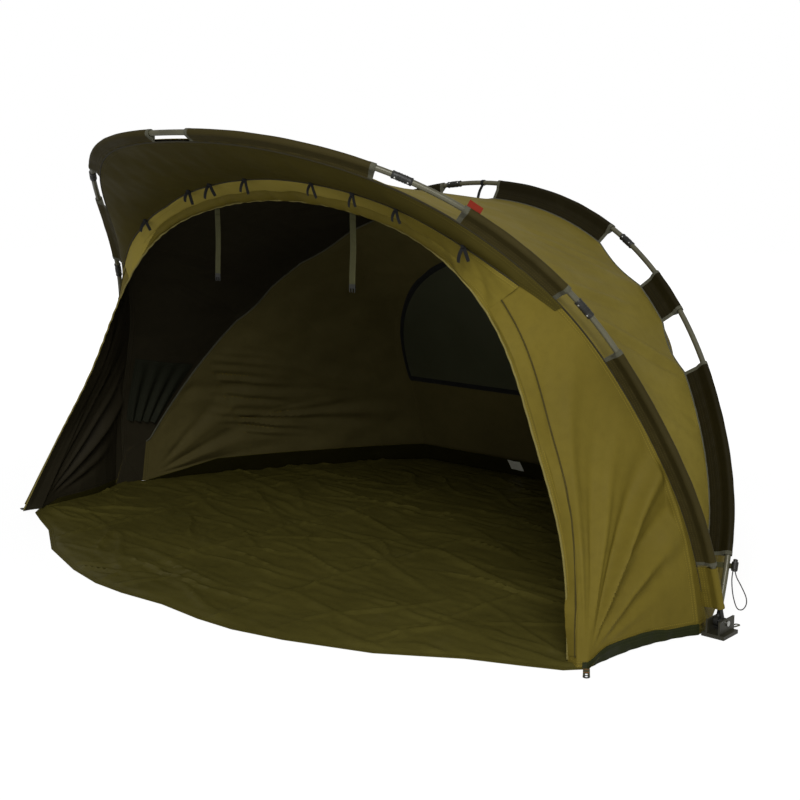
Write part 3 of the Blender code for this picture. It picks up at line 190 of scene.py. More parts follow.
def arch(shares, half_span, depth, height, low):
    """Stations of an arch: across is half_span times a share, back is depth times one, up is low plus a share."""
    s = np.array(shares)
    return both_halves(np.stack([half_span * s[:, 0], depth * s[:, 1], low + (height - low) * s[:, 2]], -1))


def door_stations():
    """Stations of the doorway's edge, which leans back from its feet to its top."""
    s = np.array(DOOR_SHARES)
    spread = DOOR_FOOT_DEPTH - DOOR_TOP_DEPTH
    back = -DOOR_TOP_DEPTH - spread * s[:, 1]
    return both_halves(np.stack([DOOR_HALF_WIDTH * s[:, 0], back, DOOR_HEIGHT * s[:, 2]], -1))


FRONT = arch(FRONT_SHARES, HALF_SPAN + FOOT_SPACING / 2, -FRONT_DEPTH, FRONT_HEIGHT, PIVOT_HEIGHT)
REAR = arch(REAR_SHARES, HALF_SPAN - FOOT_SPACING / 2, REAR_DEPTH, REAR_HEIGHT, PIVOT_HEIGHT)
DOOR = door_stations()


def read_arch(stations, angles):
    """Points of an arch at the angles, on the smooth curve through its stations."""
    return spline(np.linspace(0, 180, len(stations)), stations, angles)


def frames(stations, angles):
    """Centre, tangent, inward direction and normal of an arch at the angles."""
    angles = np.asarray(angles, float)
    centre = read_arch(stations, angles)
    tangent = unit(read_arch(stations, np.minimum(angles + 0.05, 180.0))
                   - read_arch(stations, np.maximum(angles - 0.05, 0.0)))
    inward = np.array([0.0, 0.0, PIVOT_HEIGHT]) - centre
    inward = unit(inward - (inward * tangent).sum(1)[:, None] * tangent)
    return centre, tangent, inward, np.cross(tangent, inward)


def smooth(x, low=0.0, high=1.0):
    """Smooth step: 0 below low, 1 above high, with the curve 3t^2 - 2t^3 between them."""
    t = np.clip((np.asarray(x, float) - low) / (high - low), 0, 1)
    return t * t * (3 - 2 * t)


def hump(x, low, start, end, high):
    """A value that eases from 0 at low to 1 at start, and from end back to 0 at high."""
    return smooth(x, low, start) * (1 - smooth(x, end, high))


def rise_of(angles):
    """Degrees of angles along an arch from its nearer foot: 0 at both feet, 90 at the crown."""
    return 90.0 - np.abs(90.0 - np.asarray(angles, float))


def web(angles, side, crown):
    """Width of a sleeve's web: the side value up to 45 degrees, easing to the crown value at 90."""
    rise = rise_of(angles)
    return side + (crown - side) * smooth(rise, 45.0, 90.0)


def front_web(angles):
    """Web width along the front arch."""
    return web(angles, FRONT_WEB, FRONT_CROWN_WEB)


def rear_web(angles):
    """Web width along the rear arch."""
    return web(angles, REAR_WEB, REAR_CROWN_WEB)


def gap_dip(angles, sleeves, depth):
    """How far a cloth's edge dips in where no sleeve holds it: depth times a half sine between two sleeves."""
    angles = np.asarray(angles, float)
    spans = sorted(sleeves.values())
    starts = np.array([span[1] for span in spans[:-1]])
    ends = np.array([span[0] for span in spans[1:]])
    share = np.clip((angles[:, None] - starts) / (ends - starts), 0, 1)
    return depth * np.sin(math.pi * share).sum(1)


def front_seam(angles):
    """Line along the front arch at the end of its web."""
    centre, _, inward, _ = frames(FRONT, angles)
    return centre + inward * front_web(angles)[:, None]


def hug(angles, rear):
    """The rear line drawn towards the front leg near the ground, easing back to itself by the hug angle."""
    rise = rise_of(angles)
    share = HUG_SHARE + (1 - HUG_SHARE) * smooth(rise, ROOF_START, HUG_ANGLE)
    front = front_seam(angles)
    return front + (rear - front) * share[:, None]


def rear_seam(angles):
    """Line along the rear arch at the end of its web, dipping in between its sleeves."""
    centre, _, inward, _ = frames(REAR, angles)
    return hug(angles, centre + inward * (rear_web(angles) + gap_dip(angles, REAR_SLEEVES, SEAM_DIP))[:, None])


def roof_edges(angles):
    """The roof's front and rear edges, and the inward direction at its rear edge."""
    centre, _, inward, normal = frames(FRONT, angles)
    facing = np.sign(normal[:, 1])[:, None] * normal
    rise = rise_of(angles)
    step = ROOF_STEP * np.clip((rise - 60.0) / 15.0, 0.0, 1.0)
    front = centre + inward * (front_web(angles) - step)[:, None] + facing * EDGE_GAP
    centre, _, inward, normal = frames(REAR, angles)
    facing = -np.sign(normal[:, 1])[:, None] * normal
    rear = hug(angles, centre + inward * rear_web(angles)[:, None] + facing * EDGE_GAP)
    return front, rear, inward


def roof_surface(angles, share):
    """Roof points by angle and by share from front to rear: a straight line between the edges, sagging as 4s(1-s)."""
    front, rear, inward = roof_edges(angles)
    width = np.linalg.norm(rear - front, axis=1)
    lift = ROOF_SAG * 4 * share * (1 - share) * (width / (FRONT_DEPTH + REAR_DEPTH))[:, None]
    lift = lift + gap_dip(angles, REAR_SLEEVES, SEAM_DIP)[:, None] * share**5
    line = front[:, None] * (1 - share)[..., None] + rear[:, None] * share[..., None]
    return line + inward[:, None] * lift[..., None]


def front_face(angles, shares):
    """The front face between the doorway's edge, at share 0, and the front seam, at share 1, in straight lines."""
    door = read_arch(DOOR, angles)
    seam = front_seam(angles)
    return door[:, None] * (1 - shares)[..., None] + seam[:, None] * shares[..., None]


def visor_share(angles):
    """Where the visor's lower edge lies between the doorway's edge and the front seam."""
    return np.interp(angles, VISOR_ANGLES, VISOR_SHARES)


def base_line():
    """Right half of the back wall's foot, from the block to the middle of the back, in plan."""
    narrow = HALF_SPAN - BACK_HALF_WIDTH
    places = [(HALF_SPAN - narrow * a, BACK_DEPTH * b) for a, b in BASE_SHARES]
    places = np.array(places + [(BACK_HALF_WIDTH / 2, BACK_DEPTH), (0.0, BACK_DEPTH)])
    line = np.empty((2 * len(places) - 1, 2))
    line[0::2] = places
    line[1::2] = (places[1:] + places[:-1]) / 2
    return line


def wall_depth(up):
    """How far back the flat middle of the back wall is at a height: a straight lean from foot to crown."""
    centre, _, inward, _ = frames(REAR, [90.0])
    top = centre[0] + inward[0] * REAR_CROWN_WEB
    return BACK_DEPTH + (top[1] - BACK_DEPTH) * np.asarray(up) / top[2]


def window_line(turn, shrink=0.0):
    """The window's arched edge at a turn from 0 at its right sill corner to pi at its left one."""
    rise = WINDOW_TOP - WINDOW_SILL - 2 * shrink
    up = WINDOW_SILL + shrink + rise * np.sin(np.clip(turn, 0, math.pi)) ** WINDOW_ROUNDNESS
    return np.stack([(WINDOW_HALF_WIDTH - shrink) * np.cos(turn), wall_depth(up), up], -1)


def waves(points, size, seed, count=7):
    """Soft unevenness from -1 to 1: the mean of sines of the place along seeded random directions."""
    rng = np.random.default_rng(seed)
    heading = unit(rng.normal(size=(count, 3))) * (2 * math.pi / (size * rng.uniform(0.7, 1.6, (count, 1))))
    return np.sin(points @ heading.T + rng.uniform(0, 6.28, count)).mean(-1) * 1.6


def rays(points, corner, along, up, table):
    """Folds that spread from a corner: each is a Gaussian in the angle about it, rising and then fading with distance.

    Each row of the table holds the angle, its half width in degrees, the depth and the reach in metres.
    """
    offset = points - np.asarray(corner, float)
    a, b = offset @ unit(along), offset @ unit(up)
    turn, far = np.degrees(np.arctan2(b, a)), np.hypot(a, b)
    total = np.zeros(points.shape[:-1])
    for angle, half, depth, reach in table:
        shape = np.exp(-(((turn - angle) / half) ** 2))
        total += depth * shape * hump(far, 0.02, 0.16, reach * 0.45, reach)
    return total


def run_of(line):
    """Length along a line up to each of its points."""
    return np.concatenate([[0], np.cumsum(np.linalg.norm(np.diff(line, axis=0), axis=1))])


def quads(rows, columns):
    """Quads of a grid of points."""
    a = (np.arange(rows - 1)[:, None] * columns + np.arange(columns - 1)).ravel()
    return np.stack([a, a + 1, a + columns + 1, a + columns], -1)


def runs(grid):
    """Lengths along the columns and along the rows of a grid, in metres."""
    u = np.zeros(grid.shape[:2])
    v = np.zeros(grid.shape[:2])
    u[:, 1:] = np.cumsum(np.linalg.norm(np.diff(grid, axis=1), axis=-1), axis=1)
    v[1:] = np.cumsum(np.linalg.norm(np.diff(grid, axis=0), axis=-1), axis=0)
    return u, v


def grid_normals(grid, toward=None):
    """Unit normals of a grid, turned to point away from the tent's inside, or along a given direction."""
    normal = unit(np.cross(np.gradient(grid, axis=1), np.gradient(grid, axis=0)))
    away = (grid - INSIDE) if toward is None else np.asarray(toward, float)
    sign = 1.0 if (normal * away).sum() >= 0 else -1.0
    return normal * sign, sign


def shell(grid, thickness=CLOTH_THICKNESS, toward=None, sewn=(1, 1, 1, 1)):
    """Both faces of a cloth and its rim: the grid moved by half the thickness each way along its normals.

    The second map holds the run along the nearest sewn edge and the distance from it; sewn says which of the
    first column, last column, first row and last row are sewn.
    """
    rows, columns = grid.shape[:2]
    normal, sign = grid_normals(grid, toward)
    count = rows * columns
    points = np.concatenate([(grid + normal * thickness / 2).reshape(-1, 3),
                             (grid - normal * thickness / 2).reshape(-1, 3)])
    face = quads(rows, columns)
    index = np.arange(count).reshape(rows, columns)
    loop = np.concatenate([index[0, :-1], index[:-1, -1], index[-1, :0:-1], index[:0:-1, 0]])
    after = np.roll(loop, -1)
    if sign > 0:
        outer, inner = face, face[:, ::-1] + count
        rim = np.stack([after, loop, loop + count, after + count], -1)
    else:
        outer, inner = face[:, ::-1], face + count
        rim = np.stack([loop, after, after + count, loop + count], -1)
    u, v = runs(grid)
    distance = np.stack([u if sewn[0] else FAR + u, u[:, -1:] - u if sewn[1] else FAR + u,
                         v if sewn[2] else FAR + v, v[-1:] - v if sewn[3] else FAR + v], -1)
    near = distance.argmin(-1)
    run = np.where(near < 2, v, u)
    weave = np.stack([u, v], -1).reshape(-1, 2)
    seam = np.stack([run, distance.min(-1)], -1).reshape(-1, 2)
    which = np.concatenate([np.zeros(len(outer)), np.ones(len(inner)), np.zeros(len(rim))])
    return {"points": points, "faces": [np.concatenate([outer, inner, rim])], "which": which.astype(int),
            "weave": np.concatenate([weave, weave]), "seam": np.concatenate([seam, seam])}


def sweep(line, side, profile, scale=1.0, which=0):
    """A closed bar: each ring is the line's point plus the profile laid along the side direction and across it."""
    line = np.asarray(line, float)
    profile = np.asarray(profile, float)
    tangent = unit(np.gradient(line, axis=0))
    side = np.broadcast_to(np.asarray(side, float), line.shape)
    side = unit(side - (side * tangent).sum(-1, keepdims=True) * tangent)
    across = np.cross(tangent, side)
    size = np.broadcast_to(scale, len(line))[:, None, None]
    rings = line[:, None] + size * (profile[None, :, :1] * side[:, None] + profile[None, :, 1:] * across[:, None])
    return bar(rings, which)


def bar(rings, which=0):
    """A closed body from rings of points, with a fan of triangles over each end ring."""
    count, around = rings.shape[:2]
    a = (np.arange(count - 1)[:, None] * around + np.arange(around)).ravel()
    b = (np.arange(count - 1)[:, None] * around + (np.arange(around) + 1) % around).ravel()
    side = np.stack([a, b, b + around, a + around], -1)
    points = np.concatenate([rings.reshape(-1, 3), rings[0].mean(0)[None], rings[-1].mean(0)[None]])
    j = np.arange(around)
    k = (j + 1) % around
    tail = (count - 1) * around
    last = count * around
    caps = np.concatenate([np.stack([np.full(around, last), k, j], -1),
                           np.stack([np.full(around, last + 1), tail + j, tail + k], -1)])
    run = run_of(rings.mean(1))
    girth = run_of(rings[0])
    weave = np.stack(np.meshgrid(girth, run), -1).reshape(-1, 2)
    weave = np.concatenate([weave, [[0, 0], [0, run[-1]]]])
    part = {"points": points, "faces": [side, caps], "weave": weave, "seam": weave + (0, FAR),
            "which": np.full(len(side) + len(caps), which)}
    return outwards(part)


def outwards(part):
    """The part with its faces turned round if they enclose a negative volume."""
    p = part["points"]
    total = 0.0
    for f in part["faces"]:
        for i in range(1, f.shape[1] - 1):
            total += np.einsum("ij,ij->i", p[f[:, 0]], np.cross(p[f[:, i]], p[f[:, i + 1]])).sum()
    if total < 0:
        part["faces"] = [f[:, ::-1] for f in part["faces"]]
    return part


def put(name, parts, finishes, body=None, crease=40.0, **options):
    """One object at the origin from its parts, with the weave and seam maps, smooth but for creases."""
    parts = parts if isinstance(parts, list) else [parts]
    start = np.cumsum([0] + [len(p["points"]) for p in parts])
    faces = [f + s for p, s in zip(parts, start) for f in p["faces"]]
    loops = np.concatenate([f.ravel() for f in faces])
    sizes = np.concatenate([np.full(len(f), f.shape[1]) for f in faces])
    mesh = bpy.data.meshes.new(name)
    mesh.vertices.add(int(start[-1]))
    mesh.loops.add(len(loops))
    mesh.polygons.add(len(sizes))
    mesh.vertices.foreach_set("co", np.concatenate([p["points"] for p in parts]).astype(np.float32).ravel())
    mesh.loops.foreach_set("vertex_index", loops.astype(np.int32))
    mesh.polygons.foreach_set("loop_start", np.concatenate([[0], np.cumsum(sizes)[:-1]]).astype(np.int32))
    mesh.update(calc_edges=True)
    for layer in ("weave", "seam"):
        values = np.concatenate([p[layer] for p in parts])[loops]
        mesh.uv_layers.new(name=layer).uv.foreach_set("vector", values.astype(np.float32).ravel())
    for finish in finishes:
        mesh.materials.append(FINISH[finish])
    which = np.concatenate([p["which"] for p in parts]) % len(finishes)
    mesh.polygons.foreach_set("material_index", which.astype(np.int32))
    mesh.shade_smooth()
    mesh.set_sharp_from_angle(angle=math.radians(crease))
    made = bpy.data.objects.new(name, mesh)
    bpy.context.scene.collection.objects.link(made)
    if options.get("stands_for"):
        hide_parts(*options["stands_for"])
    if body and options.get("settled"):
        settle(made)
    elif body:
        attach(made, body)
    return made


def settle(made):
    """Reads a cloth's points, which nothing uses, and bakes its transform into its mesh."""
    points = np.empty(len(made.data.vertices) * 3, np.float32)
    made.data.vertices.foreach_get("co", points)
    points = points.reshape(-1, 3)
    weigh(made)


def weigh(made):
    """Bakes a piece's transform into its mesh."""
    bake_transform(made)


def turns(sides):
    """Angles of the corners of a ring, in radians."""
    return np.linspace(0, 2 * math.pi, sides, endpoint=False)


def ring(sides, radius, squash=1.0):
    """Profile of a circle, or of an ellipse flattened by the squash."""
    turn = turns(sides)
    return np.stack([radius * np.cos(turn), radius * squash * np.sin(turn)], -1)


def flat(width, thickness):
    """Profile of a tape: a rectangle with rounded edges, its width first."""
    turn = turns(16) + math.pi / 16
    c, s = np.cos(turn), np.sin(turn)
    return np.stack([np.sign(c) * np.abs(c) ** 0.25 * width / 2, np.sign(s) * np.abs(s) ** 0.6 * thickness / 2], -1)


def settings():
    """The tent's settings in the scene."""
    return bpy.context.scene.bivvy


# Finishes

FINISH = {}


def node(tree, kind, values=None, **options):
    """A shader node with its options set and its inputs linked or given."""
    made = tree.nodes.new(kind)
    for key, value in options.items():
        setattr(made, key, value)
    for key, value in (values or {}).items():
        if isinstance(value, bpy.types.NodeSocket):
            tree.links.new(value, made.inputs[key])
        else:
            made.inputs[key].default_value = value
    return made


def calc(tree, operation, a, b=0.0, c=0.0):
    """One arithmetic step."""
    return node(tree, "ShaderNodeMath", {0: a, 1: b, 2: c}, operation=operation).outputs[0]


def times(tree, a, b):
    """The product of two values."""
    return calc(tree, "MULTIPLY", a, b)


def plus(tree, a, b):
    """The sum of two values."""
    return calc(tree, "ADD", a, b)


def between(tree, value, low, high, start=0.0, end=1.0):
    """A value eased from start to end as it goes from low to high."""
    return node(tree, "ShaderNodeMapRange",
                {"Value": value, "From Min": low, "From Max": high, "To Min": start, "To Max": end},
                interpolation_type="SMOOTHSTEP").outputs["Result"]


def blend_colour(tree, share, a, b):
    """Two colours mixed by a share."""
    made = node(tree, "ShaderNodeMix", data_type="RGBA", blend_type="MIX")
    for index, value in ((0, share), (6, a), (7, b)):
        if isinstance(value, bpy.types.NodeSocket):
            tree.links.new(value, made.inputs[index])
        else:
            made.inputs[index].default_value = value
    return made.outputs[2]


def noise(tree, vector, scale, detail=3.0, rough=0.55):
    """Noise from 0 to 1 at a scale."""
    return node(tree, "ShaderNodeTexNoise",
                {"Vector": vector, "Scale": scale, "Detail": detail, "Roughness": rough}).outputs["Fac"]


def threads(tree, vector, direction, pitch):
    """Sine bands across a direction, one every pitch."""
    return node(tree, "ShaderNodeTexWave", {"Vector": vector, "Scale": 0.31416 / pitch, "Distortion": 0.0},
                wave_type="BANDS", bands_direction=direction).outputs["Fac"]


def new_finish(name, roughness, **sockets):
    """A material with its Principled shader and the constants set on the shader's own sockets."""
    made = bpy.data.materials.new(name)
    made.use_nodes = True
    shader = made.node_tree.nodes["Principled BSDF"]
    shader.inputs["Roughness"].default_value = roughness
    for key, value in sockets.items():
        shader.inputs[key.replace("_", " ")].default_value = value
    return made, made.node_tree, shader


def places(tree):
    """The run along and across the weave, and the place in the tent."""
    return (node(tree, "ShaderNodeUVMap", uv_map="weave").outputs["UV"],
            node(tree, "ShaderNodeTexCoord").outputs["Object"])


def dress(tree, shader, base, height, strength, distance, **options):
    """Gives a shader its colour and its relief, in metres."""
    tree.links.new(base, shader.inputs["Base Color"])
    values = {"Strength": strength, "Distance": distance, "Height": height}
    tree.links.new(node(tree, "ShaderNodeBump", values, **options).outputs["Normal"], shader.inputs["Normal"])


def rgba(colour, scale=1.0):
    """A colour with its alpha, scaled."""
    return (*[min(1.0, c * scale) for c in colour[:3]], 1.0)


def cloth_finish(name, colour, pitch=0.0024, rough=0.62, crumple=0.6, stitched=True, dusty=0.08):
    """Woven cloth: crossed thread bands, blotches of tone, fine crumpling, and a doubled hem with its stitches."""
    made, tree, shader = new_finish(name, rough, Specular_IOR_Level=0.06)
    woven, place = places(tree)
    cross = times(tree, threads(tree, woven, "X", pitch), threads(tree, woven, "Y", pitch))
    broad = between(tree, noise(tree, place, 2.1, 4.0), 0.30, 0.70)
    fine = noise(tree, place, 38.0, 5.0, 0.6)
    base = blend_colour(tree, broad, rgba(colour, 0.86), rgba(colour, 1.12))
    base = blend_colour(tree, between(tree, fine, 0.35, 0.75, 0.0, 0.22), base, rgba(colour, 0.62))
    # Painted shade in the weave: thread crossings lighter than the valleys between them
    base = blend_colour(tree, times(tree, cross, 0.16), base, rgba(colour, 1.5))
    dust = times(tree, between(tree, noise(tree, place, 7.0, 6.0, 0.65), 0.55, 0.78), dusty)
    base = blend_colour(tree, dust, base, rgba((0.12, 0.105, 0.05)))
    height = plus(tree, times(tree, cross, 0.12), times(tree, noise(tree, place, 21.0, 4.0), crumple))
    if stitched:
        seam = node(tree, "ShaderNodeSeparateXYZ", {0: node(tree, "ShaderNodeUVMap", uv_map="seam").outputs["UV"]})
        run, far = seam.outputs[0], seam.outputs[1]
        dash = between(tree, calc(tree, "PINGPONG", run, 0.0032), 0.0008, 0.0012)
        rows = plus(tree, between(tree, calc(tree, "ABSOLUTE", calc(tree, "SUBTRACT", far, 0.0045)), 0.0012, 0.0005),
                    between(tree, calc(tree, "ABSOLUTE", calc(tree, "SUBTRACT", far, 0.0125)), 0.0012, 0.0005))
        stitch = times(tree, dash, rows)
        hem = between(tree, far, 0.0175, 0.0150)
        base = blend_colour(tree, times(tree, hem, 0.25), base, rgba(colour, 0.70))
        base = blend_colour(tree, times(tree, rows, 0.35), base, rgba(colour, 0.45))
        base = blend_colour(tree, times(tree, stitch, 0.8), base, rgba(colour, 1.7))
        worn = times(tree, between(tree, far, 0.004, 0.0), between(tree, fine, 0.35, 0.6, 0.0, 0.35))
        base = blend_colour(tree, worn, base, rgba(colour, 1.9))
        height = plus(tree, height, plus(tree, times(tree, hem, 0.5), times(tree, rows, -0.25)))
    tree.links.new(between(tree, noise(tree, place, 9.0, 3.0), 0.3, 0.7, rough - 0.07, rough + 0.09),
                   shader.inputs["Roughness"])
    dress(tree, shader, base, height, 0.55, 0.0016)
    made.diffuse_color = rgba(colour)
    return made


def webbing_finish(name, colour, pitch=0.0016, rough=0.8):
    """Ribbed tape: ribs across its width, a herringbone of finer bands, and paler fuzz in places."""
    made, tree, shader = new_finish(name, rough, Sheen_Weight=0.03, Sheen_Roughness=0.5, Specular_IOR_Level=0.2)
    woven, place = places(tree)
    ribs = threads(tree, woven, "Y", pitch)
    twill = threads(tree, woven, "DIAGONAL", pitch * 1.7)
    relief = plus(tree, times(tree, ribs, 0.7), times(tree, twill, 0.4))
    base = blend_colour(tree, times(tree, relief, 0.6), rgba(colour, 0.7), rgba(colour, 1.35))
    fuzz = between(tree, noise(tree, place, 90.0, 4.0, 0.7), 0.45, 0.8, 0.0, 0.3)
    base = blend_colour(tree, fuzz, base, rgba(colour, 1.9))
    dress(tree, shader, base, relief, 0.7, 0.0006)
    return made


def mesh_finish(name, colour):
    """Fine window mesh: a grid of dark holes between slightly paler threads."""
    made, tree, shader = new_finish(name, 0.55, Specular_IOR_Level=0.4)
    woven, place = places(tree)
    holes = times(tree, threads(tree, woven, "X", 0.0030), threads(tree, woven, "Y", 0.0030))
    base = blend_colour(tree, between(tree, holes, 0.15, 0.55), rgba(colour, 1.7), rgba(colour, 0.45))
    base = blend_colour(tree, between(tree, noise(tree, place, 5.0, 3.0), 0.35, 0.7, 0.0, 0.4), base, rgba(colour, 1.3))
    dress(tree, shader, base, holes, 0.8, 0.0008, invert=True)
    return made


def moulded_finish(name, colour, rough=0.48):
    """Moulded plastic: fine grain, faint flow marks, and paler scuffs."""
    made, tree, shader = new_finish(name, rough, Specular_IOR_Level=0.45)
    place = node(tree, "ShaderNodeTexCoord").outputs["Object"]
    grain = noise(tree, place, 900.0, 2.0)
    flow = noise(tree, place, 26.0, 4.0)
    scuff = between(tree, noise(tree, place, 140.0, 6.0, 0.7), 0.60, 0.80)
    base = blend_colour(tree, between(tree, flow, 0.3, 0.7), rgba(colour, 0.8), rgba(colour, 1.3))
    base = blend_colour(tree, times(tree, scuff, 0.35), base, rgba((0.09, 0.09, 0.085)))
    tree.links.new(between(tree, scuff, 0.0, 1.0, rough, rough + 0.18), shader.inputs["Roughness"])
    height = plus(tree, times(tree, grain, 0.5), times(tree, scuff, 0.3))
    dress(tree, shader, base, height, 0.35, 0.0003)
    return made


def metal_finish(name, colour, rough, metallic, worn, wear):
    """Painted or bright metal: drawn streaks along the tube, small chips to the metal below, varied gloss."""
    made, tree, shader = new_finish(name, rough, Metallic=metallic)
    woven, place = places(tree)
    drawn = node(tree, "ShaderNodeMapping", {"Vector": woven, "Scale": (900.0, 14.0, 1.0)}).outputs[0]
    streak = noise(tree, drawn, 1.0, 3.0)
    chips = times(tree, between(tree, noise(tree, place, 160.0, 5.0, 0.75), 0.63, 0.70), wear)
    base = blend_colour(tree, between(tree, noise(tree, place, 11.0, 3.0), 0.3, 0.7), rgba(colour, 0.85),
                        rgba(colour, 1.15))
    base = blend_colour(tree, chips, base, rgba(worn))
    tree.links.new(between(tree, streak, 0.3, 0.7, rough - 0.06, rough + 0.12), shader.inputs["Roughness"])
    height = calc(tree, "SUBTRACT", times(tree, streak, 0.3), chips)
    dress(tree, shader, base, height, 0.25, 0.0002)
    return made


def braid_finish(name, colour, pitch=0.0022):
    """Braided cord: two crossed diagonal bands along and round it."""
    made, tree, shader = new_finish(name, 0.7, Sheen_Weight=0.03, Sheen_Roughness=0.4)
    woven = node(tree, "ShaderNodeUVMap", uv_map="weave").outputs["UV"]
    turned = node(tree, "ShaderNodeMapping", {"Vector": woven, "Scale": (1.0, -1.0, 1.0)}).outputs[0]
    strands = times(tree, threads(tree, woven, "DIAGONAL", pitch), threads(tree, turned, "DIAGONAL", pitch))
    base = blend_colour(tree, strands, rgba(colour, 0.6), rgba(colour, 2.2))
    dress(tree, shader, base, strands, 0.8, 0.0004)
    return made


class BivvyColours(bpy.types.PropertyGroup):
    """Colours of the tent's materials."""

    roof: bpy.props.FloatVectorProperty(name="Roof", description="Outer face of the roof cloth", subtype="COLOR",
                                        default=(0.176, 0.138, 0.024))
    wing: bpy.props.FloatVectorProperty(name="Wings", description="Outer face of the side wings", subtype="COLOR",
                                        default=(0.130, 0.099, 0.0140))
    band: bpy.props.FloatVectorProperty(name="Band", description="Light band round the doorway", subtype="COLOR",
                                        default=(0.140, 0.108, 0.0155))
    wall: bpy.props.FloatVectorProperty(name="Back wall", description="Inner face of the back wall", subtype="COLOR",
                                        default=(0.082, 0.067, 0.022))
    # Painted shade: the inner faces are the same cloth as the outer ones, given a dark colour for the shaded inside
    inner: bpy.props.FloatVectorProperty(name="Inner face shade", description="Inner face of the roof and the left wing",
                                         subtype="COLOR", default=(0.025, 0.021, 0.012))
    sleeve: bpy.props.FloatVectorProperty(name="Sleeves", description="Pole sleeves", subtype="COLOR",
                                          default=(0.038, 0.030, 0.0085))
    visor: bpy.props.FloatVectorProperty(name="Visor", description="Underside of the peak", subtype="COLOR",
                                         default=(0.047, 0.037, 0.0055))
    floor: bpy.props.FloatVectorProperty(name="Groundsheet", description="Coated groundsheet", subtype="COLOR",
                                         default=(0.070, 0.060, 0.0125))
    webbing: bpy.props.FloatVectorProperty(name="Webbing", description="Straps and loops", subtype="COLOR",
                                           default=(0.060, 0.058, 0.022))
    tube: bpy.props.FloatVectorProperty(name="Poles", description="Paint on the poles", subtype="COLOR",
                                        default=(0.090, 0.085, 0.050))


class BivvySizes(bpy.types.PropertyGroup):
    """Sizes of the tent's trim and folds."""

    crease_depth: bpy.props.FloatProperty(name="Fold depth",
                                          description="Depth of the folds, as a share of the modelled ones",
                                          default=1.0, min=0.0, max=2.0, subtype="FACTOR")
    piping_radius: bpy.props.FloatProperty(name="Piping radius", description="Radius of the cord in the seams",
                                           default=0.0026, unit="LENGTH")
    tie_length: bpy.props.FloatProperty(name="Tie length", description="Length of each tape of a tie", default=0.042,
                                        unit="LENGTH")
    tie_width: bpy.props.FloatProperty(name="Tie width", description="Width of each tape of a tie", default=0.011,
                                       unit="LENGTH")
    zip_width: bpy.props.FloatProperty(name="Zip width", description="Width of the zips' tapes", default=0.022,
                                       unit="LENGTH")
    skirt_height: bpy.props.FloatProperty(name="Skirt height",
                                          description="Height of the dark strip above a wing's foot", default=0.009,
                                          unit="LENGTH")


def make_finishes():
    """Every material by a short name."""
    c = bpy.context.scene.bivvy_colours
    FINISH.update({
        "roof": cloth_finish("olive roof cloth", c.roof, crumple=0.5),
        "wing": cloth_finish("olive wing cloth", c.wing, crumple=0.5),
        "band": cloth_finish("light band cloth", c.band, crumple=0.8),
        "wall_out": cloth_finish("olive back wall cloth", c.wing),
        "wall": cloth_finish("back wall lining", c.wall, crumple=1.0),
        # Painted shade: a dark copy of the cloth colour on the inner faces, for the shaded inside of the tent
        "inner": cloth_finish("inner face painted shade", c.inner, dusty=0.04),
        "hem": cloth_finish("rolled hem cloth", rgba(c.band, 0.86)[:3], crumple=0.9),
        "front_sleeve": cloth_finish("front sleeve cloth", c.sleeve, pitch=0.003, rough=0.6, crumple=0.9, dusty=0.05),
        # Painted shade: the rear arch's sleeves are the same cloth as the front ones, at a darker copy of their colour
        "rear_sleeve": cloth_finish("rear sleeve painted shade cloth", rgba(c.sleeve, 0.36)[:3], pitch=0.003, rough=0.55, crumple=0.9,
                                    dusty=0.05),
        "dark_seam": webbing_finish("dark olive seam tape", rgba(c.wing, 0.4)[:3], 0.0012),
        "visor": cloth_finish("dark visor cloth", c.visor, crumple=0.6, dusty=0.06),
        "floor": cloth_finish("coated groundsheet cloth", c.floor, pitch=0.003, rough=0.42, crumple=1.2, dusty=0.10),
        "skirt": cloth_finish("dark skirt cloth", (0.017, 0.020, 0.0060), pitch=0.003, rough=0.5),
        # Painted shade: the lips are the groundsheet folded up, at a darker copy of its colour
        "lip": cloth_finish("groundsheet lip painted shade cloth", rgba(c.floor, 0.30)[:3], pitch=0.003, rough=0.5),
        "pocket": cloth_finish("dark pocket cloth", (0.017, 0.018, 0.011), rough=0.7),
        "mesh": mesh_finish("dark window mesh", (0.036, 0.038, 0.018)),
        "webbing": webbing_finish("olive webbing", c.webbing),
        "tape": webbing_finish("black tape", (0.010, 0.010, 0.009)),
        "binding": webbing_finish("grey binding tape", (0.085, 0.083, 0.055), 0.0012),
        "piping": webbing_finish("dark piping", (0.030, 0.025, 0.010), 0.0012),
        "light_piping": webbing_finish("light piping", (0.205, 0.170, 0.045), 0.0012),
        "thread": webbing_finish("orange thread", (0.42, 0.13, 0.03), 0.0006),
        "red": cloth_finish("red tab cloth", (0.19, 0.020, 0.010), 0.0014, stitched=False),
        "pale": cloth_finish("pale tag cloth", (0.80, 0.79, 0.66), 0.0014, stitched=False),
        "cord": braid_finish("black braided cord", (0.012, 0.012, 0.011)),
        "plastic": moulded_finish("black moulded plastic", (0.011, 0.011, 0.008)),
        "block": moulded_finish("dark olive moulded plastic", (0.022, 0.020, 0.009)),
        "tube": metal_finish("olive painted tube", c.tube, 0.36, 0.15, (0.42, 0.42, 0.38), 0.7),
        "steel": metal_finish("bright steel", (0.55, 0.55, 0.52), 0.28, 1.0, (0.30, 0.26, 0.22), 0.5),
    })
    # Painted light on the band: lighter at its left and over the crown, where the visor shades it
    paint_light_across(FINISH["band"], (0.34, 0.27, 0.055), 0.20, 0.62)


